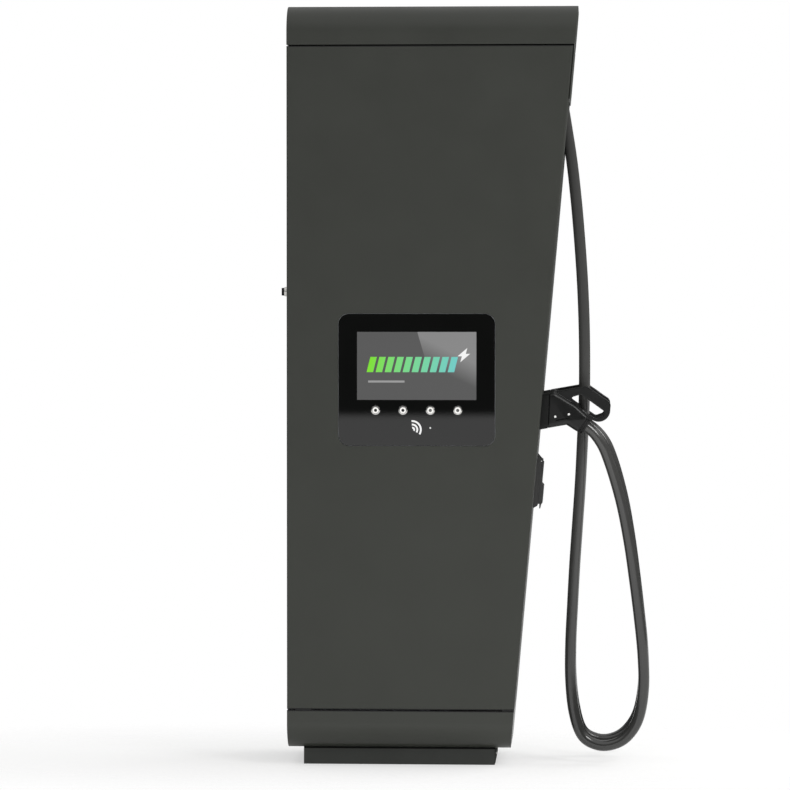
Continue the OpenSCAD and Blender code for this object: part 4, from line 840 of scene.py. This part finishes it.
module_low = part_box("power_modules")[0]
module_guard = wire_guard("module_guard", guard_rings, guard_hub, guard_reach, wire_r)
guard_x = module_low[0] + module_face + guard_stand
for n in range(module_count):
    z = module_low[2] + module_fan_z + module_pitch * n
    for name, y in (("left", -module_fan_y), ("right", module_fan_y)):
        fit_guard(module_guard, "module_guard_%d_%s" % (n + 1, name), (guard_x, y, z))
bpy.data.objects.remove(module_guard)

# The switchgear: moulded contactors, breakers and the main switch on the mounting plate, with the
# control unit in its painted case below. Its plugs are green and the switch's plate is yellow.
pale_plastic = ((0.56, 0.56, 0.53), (0.66, 0.66, 0.63))
dark_plastic = ((0.030, 0.031, 0.033), (0.040, 0.041, 0.043))
case_paint = ((0.060, 0.082, 0.095), (0.072, 0.096, 0.110))
tint_soft = 0.0004


def two_tone(name, shades, rough, tint, *limits):
    """Moulded finish with another colour past limits (axis, place, way); way -1 is below the place."""
    material = finish(name, *shades, rough, (1200, 0.00005), cloud=25)
    tree = material.node_tree
    past = 0.0
    for axis, limit, way in limits:
        soft = way * tint_soft
        past = calc(tree, "MAXIMUM", past, ramp(tree, here(tree)[axis], limit - soft, limit + soft))
    recolour(material, paint(tree, past, tint, ground(tree)))
    return material


for node, name, shades, rough, tint, front in (
        ("breaker_row", "breaker_plastic", pale_plastic, (0.40, 0.52), (0.025, 0.026, 0.028), -0.0162),
        ("contactors", "contactor_plastic", dark_plastic, (0.42, 0.55), (0.10, 0.105, 0.11), -0.0352),
        ("control_unit", "control_case", case_paint, (0.40, 0.52), (0.020, 0.200, 0.060), -0.0102),
        ("main_switch", "switch_plastic", pale_plastic, (0.40, 0.52), (0.72, 0.50, 0.02), -0.0102)):
    coat(two_tone(name, shades, rough, tint, ("X", front, -1)), node)
red_plastic = finish("red_plastic", (0.40, 0.012, 0.012), (0.48, 0.018, 0.016), (0.28, 0.40),
                     (1200, 0.00004), cloud=30)
coat(red_plastic, "main_switch_knob")

# The fans: two moulded rotors on motor spindles in one black shroud, behind wire guards.
# They stand behind the door's upper louvres and move the cabinet's air through them.
fan_rings, fan_hub, fan_reach, fan_wire = (0.020, 0.036, 0.052, 0.068, 0.084), 0.0195, 0.0985, 0.0014
fan_heights, fan_stand = {"upper": 1.955, "lower": 1.755}, 0.0013
fan_plastic = finish("fan_plastic", (0.012, 0.012, 0.013), (0.018, 0.018, 0.019), (0.42, 0.56),
                     (1300, 0.00005), cloud=25)
coat(fan_plastic, "fan_shroud", "fan_rotor_upper", "fan_rotor_lower")
fan_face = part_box("fan_shroud")[0][0]
fan_guard = wire_guard("fan_guard", fan_rings, fan_hub, fan_reach, fan_wire)
for name, z in fan_heights.items():
    fit_guard(fan_guard, "fan_guard_" + name, (fan_face - fan_stand, 0, z))
bpy.data.objects.remove(fan_guard)

# The coolant unit: a blow-moulded tank with a black cap and a pump block, on the rack's top.
# It feeds the hoses inside the cables.
tank_plastic, cap_black = ((0.55, 0.58, 0.60), (0.64, 0.67, 0.69)), (0.02, 0.02, 0.02)
cap_from, pump_from = 1.1095, 0.2795
tank = two_tone("coolant_tank", tank_plastic, (0.30, 0.42), cap_black,
                ("Z", cap_from, 1), ("X", pump_from, 1))
coat(tank, "coolant_unit")
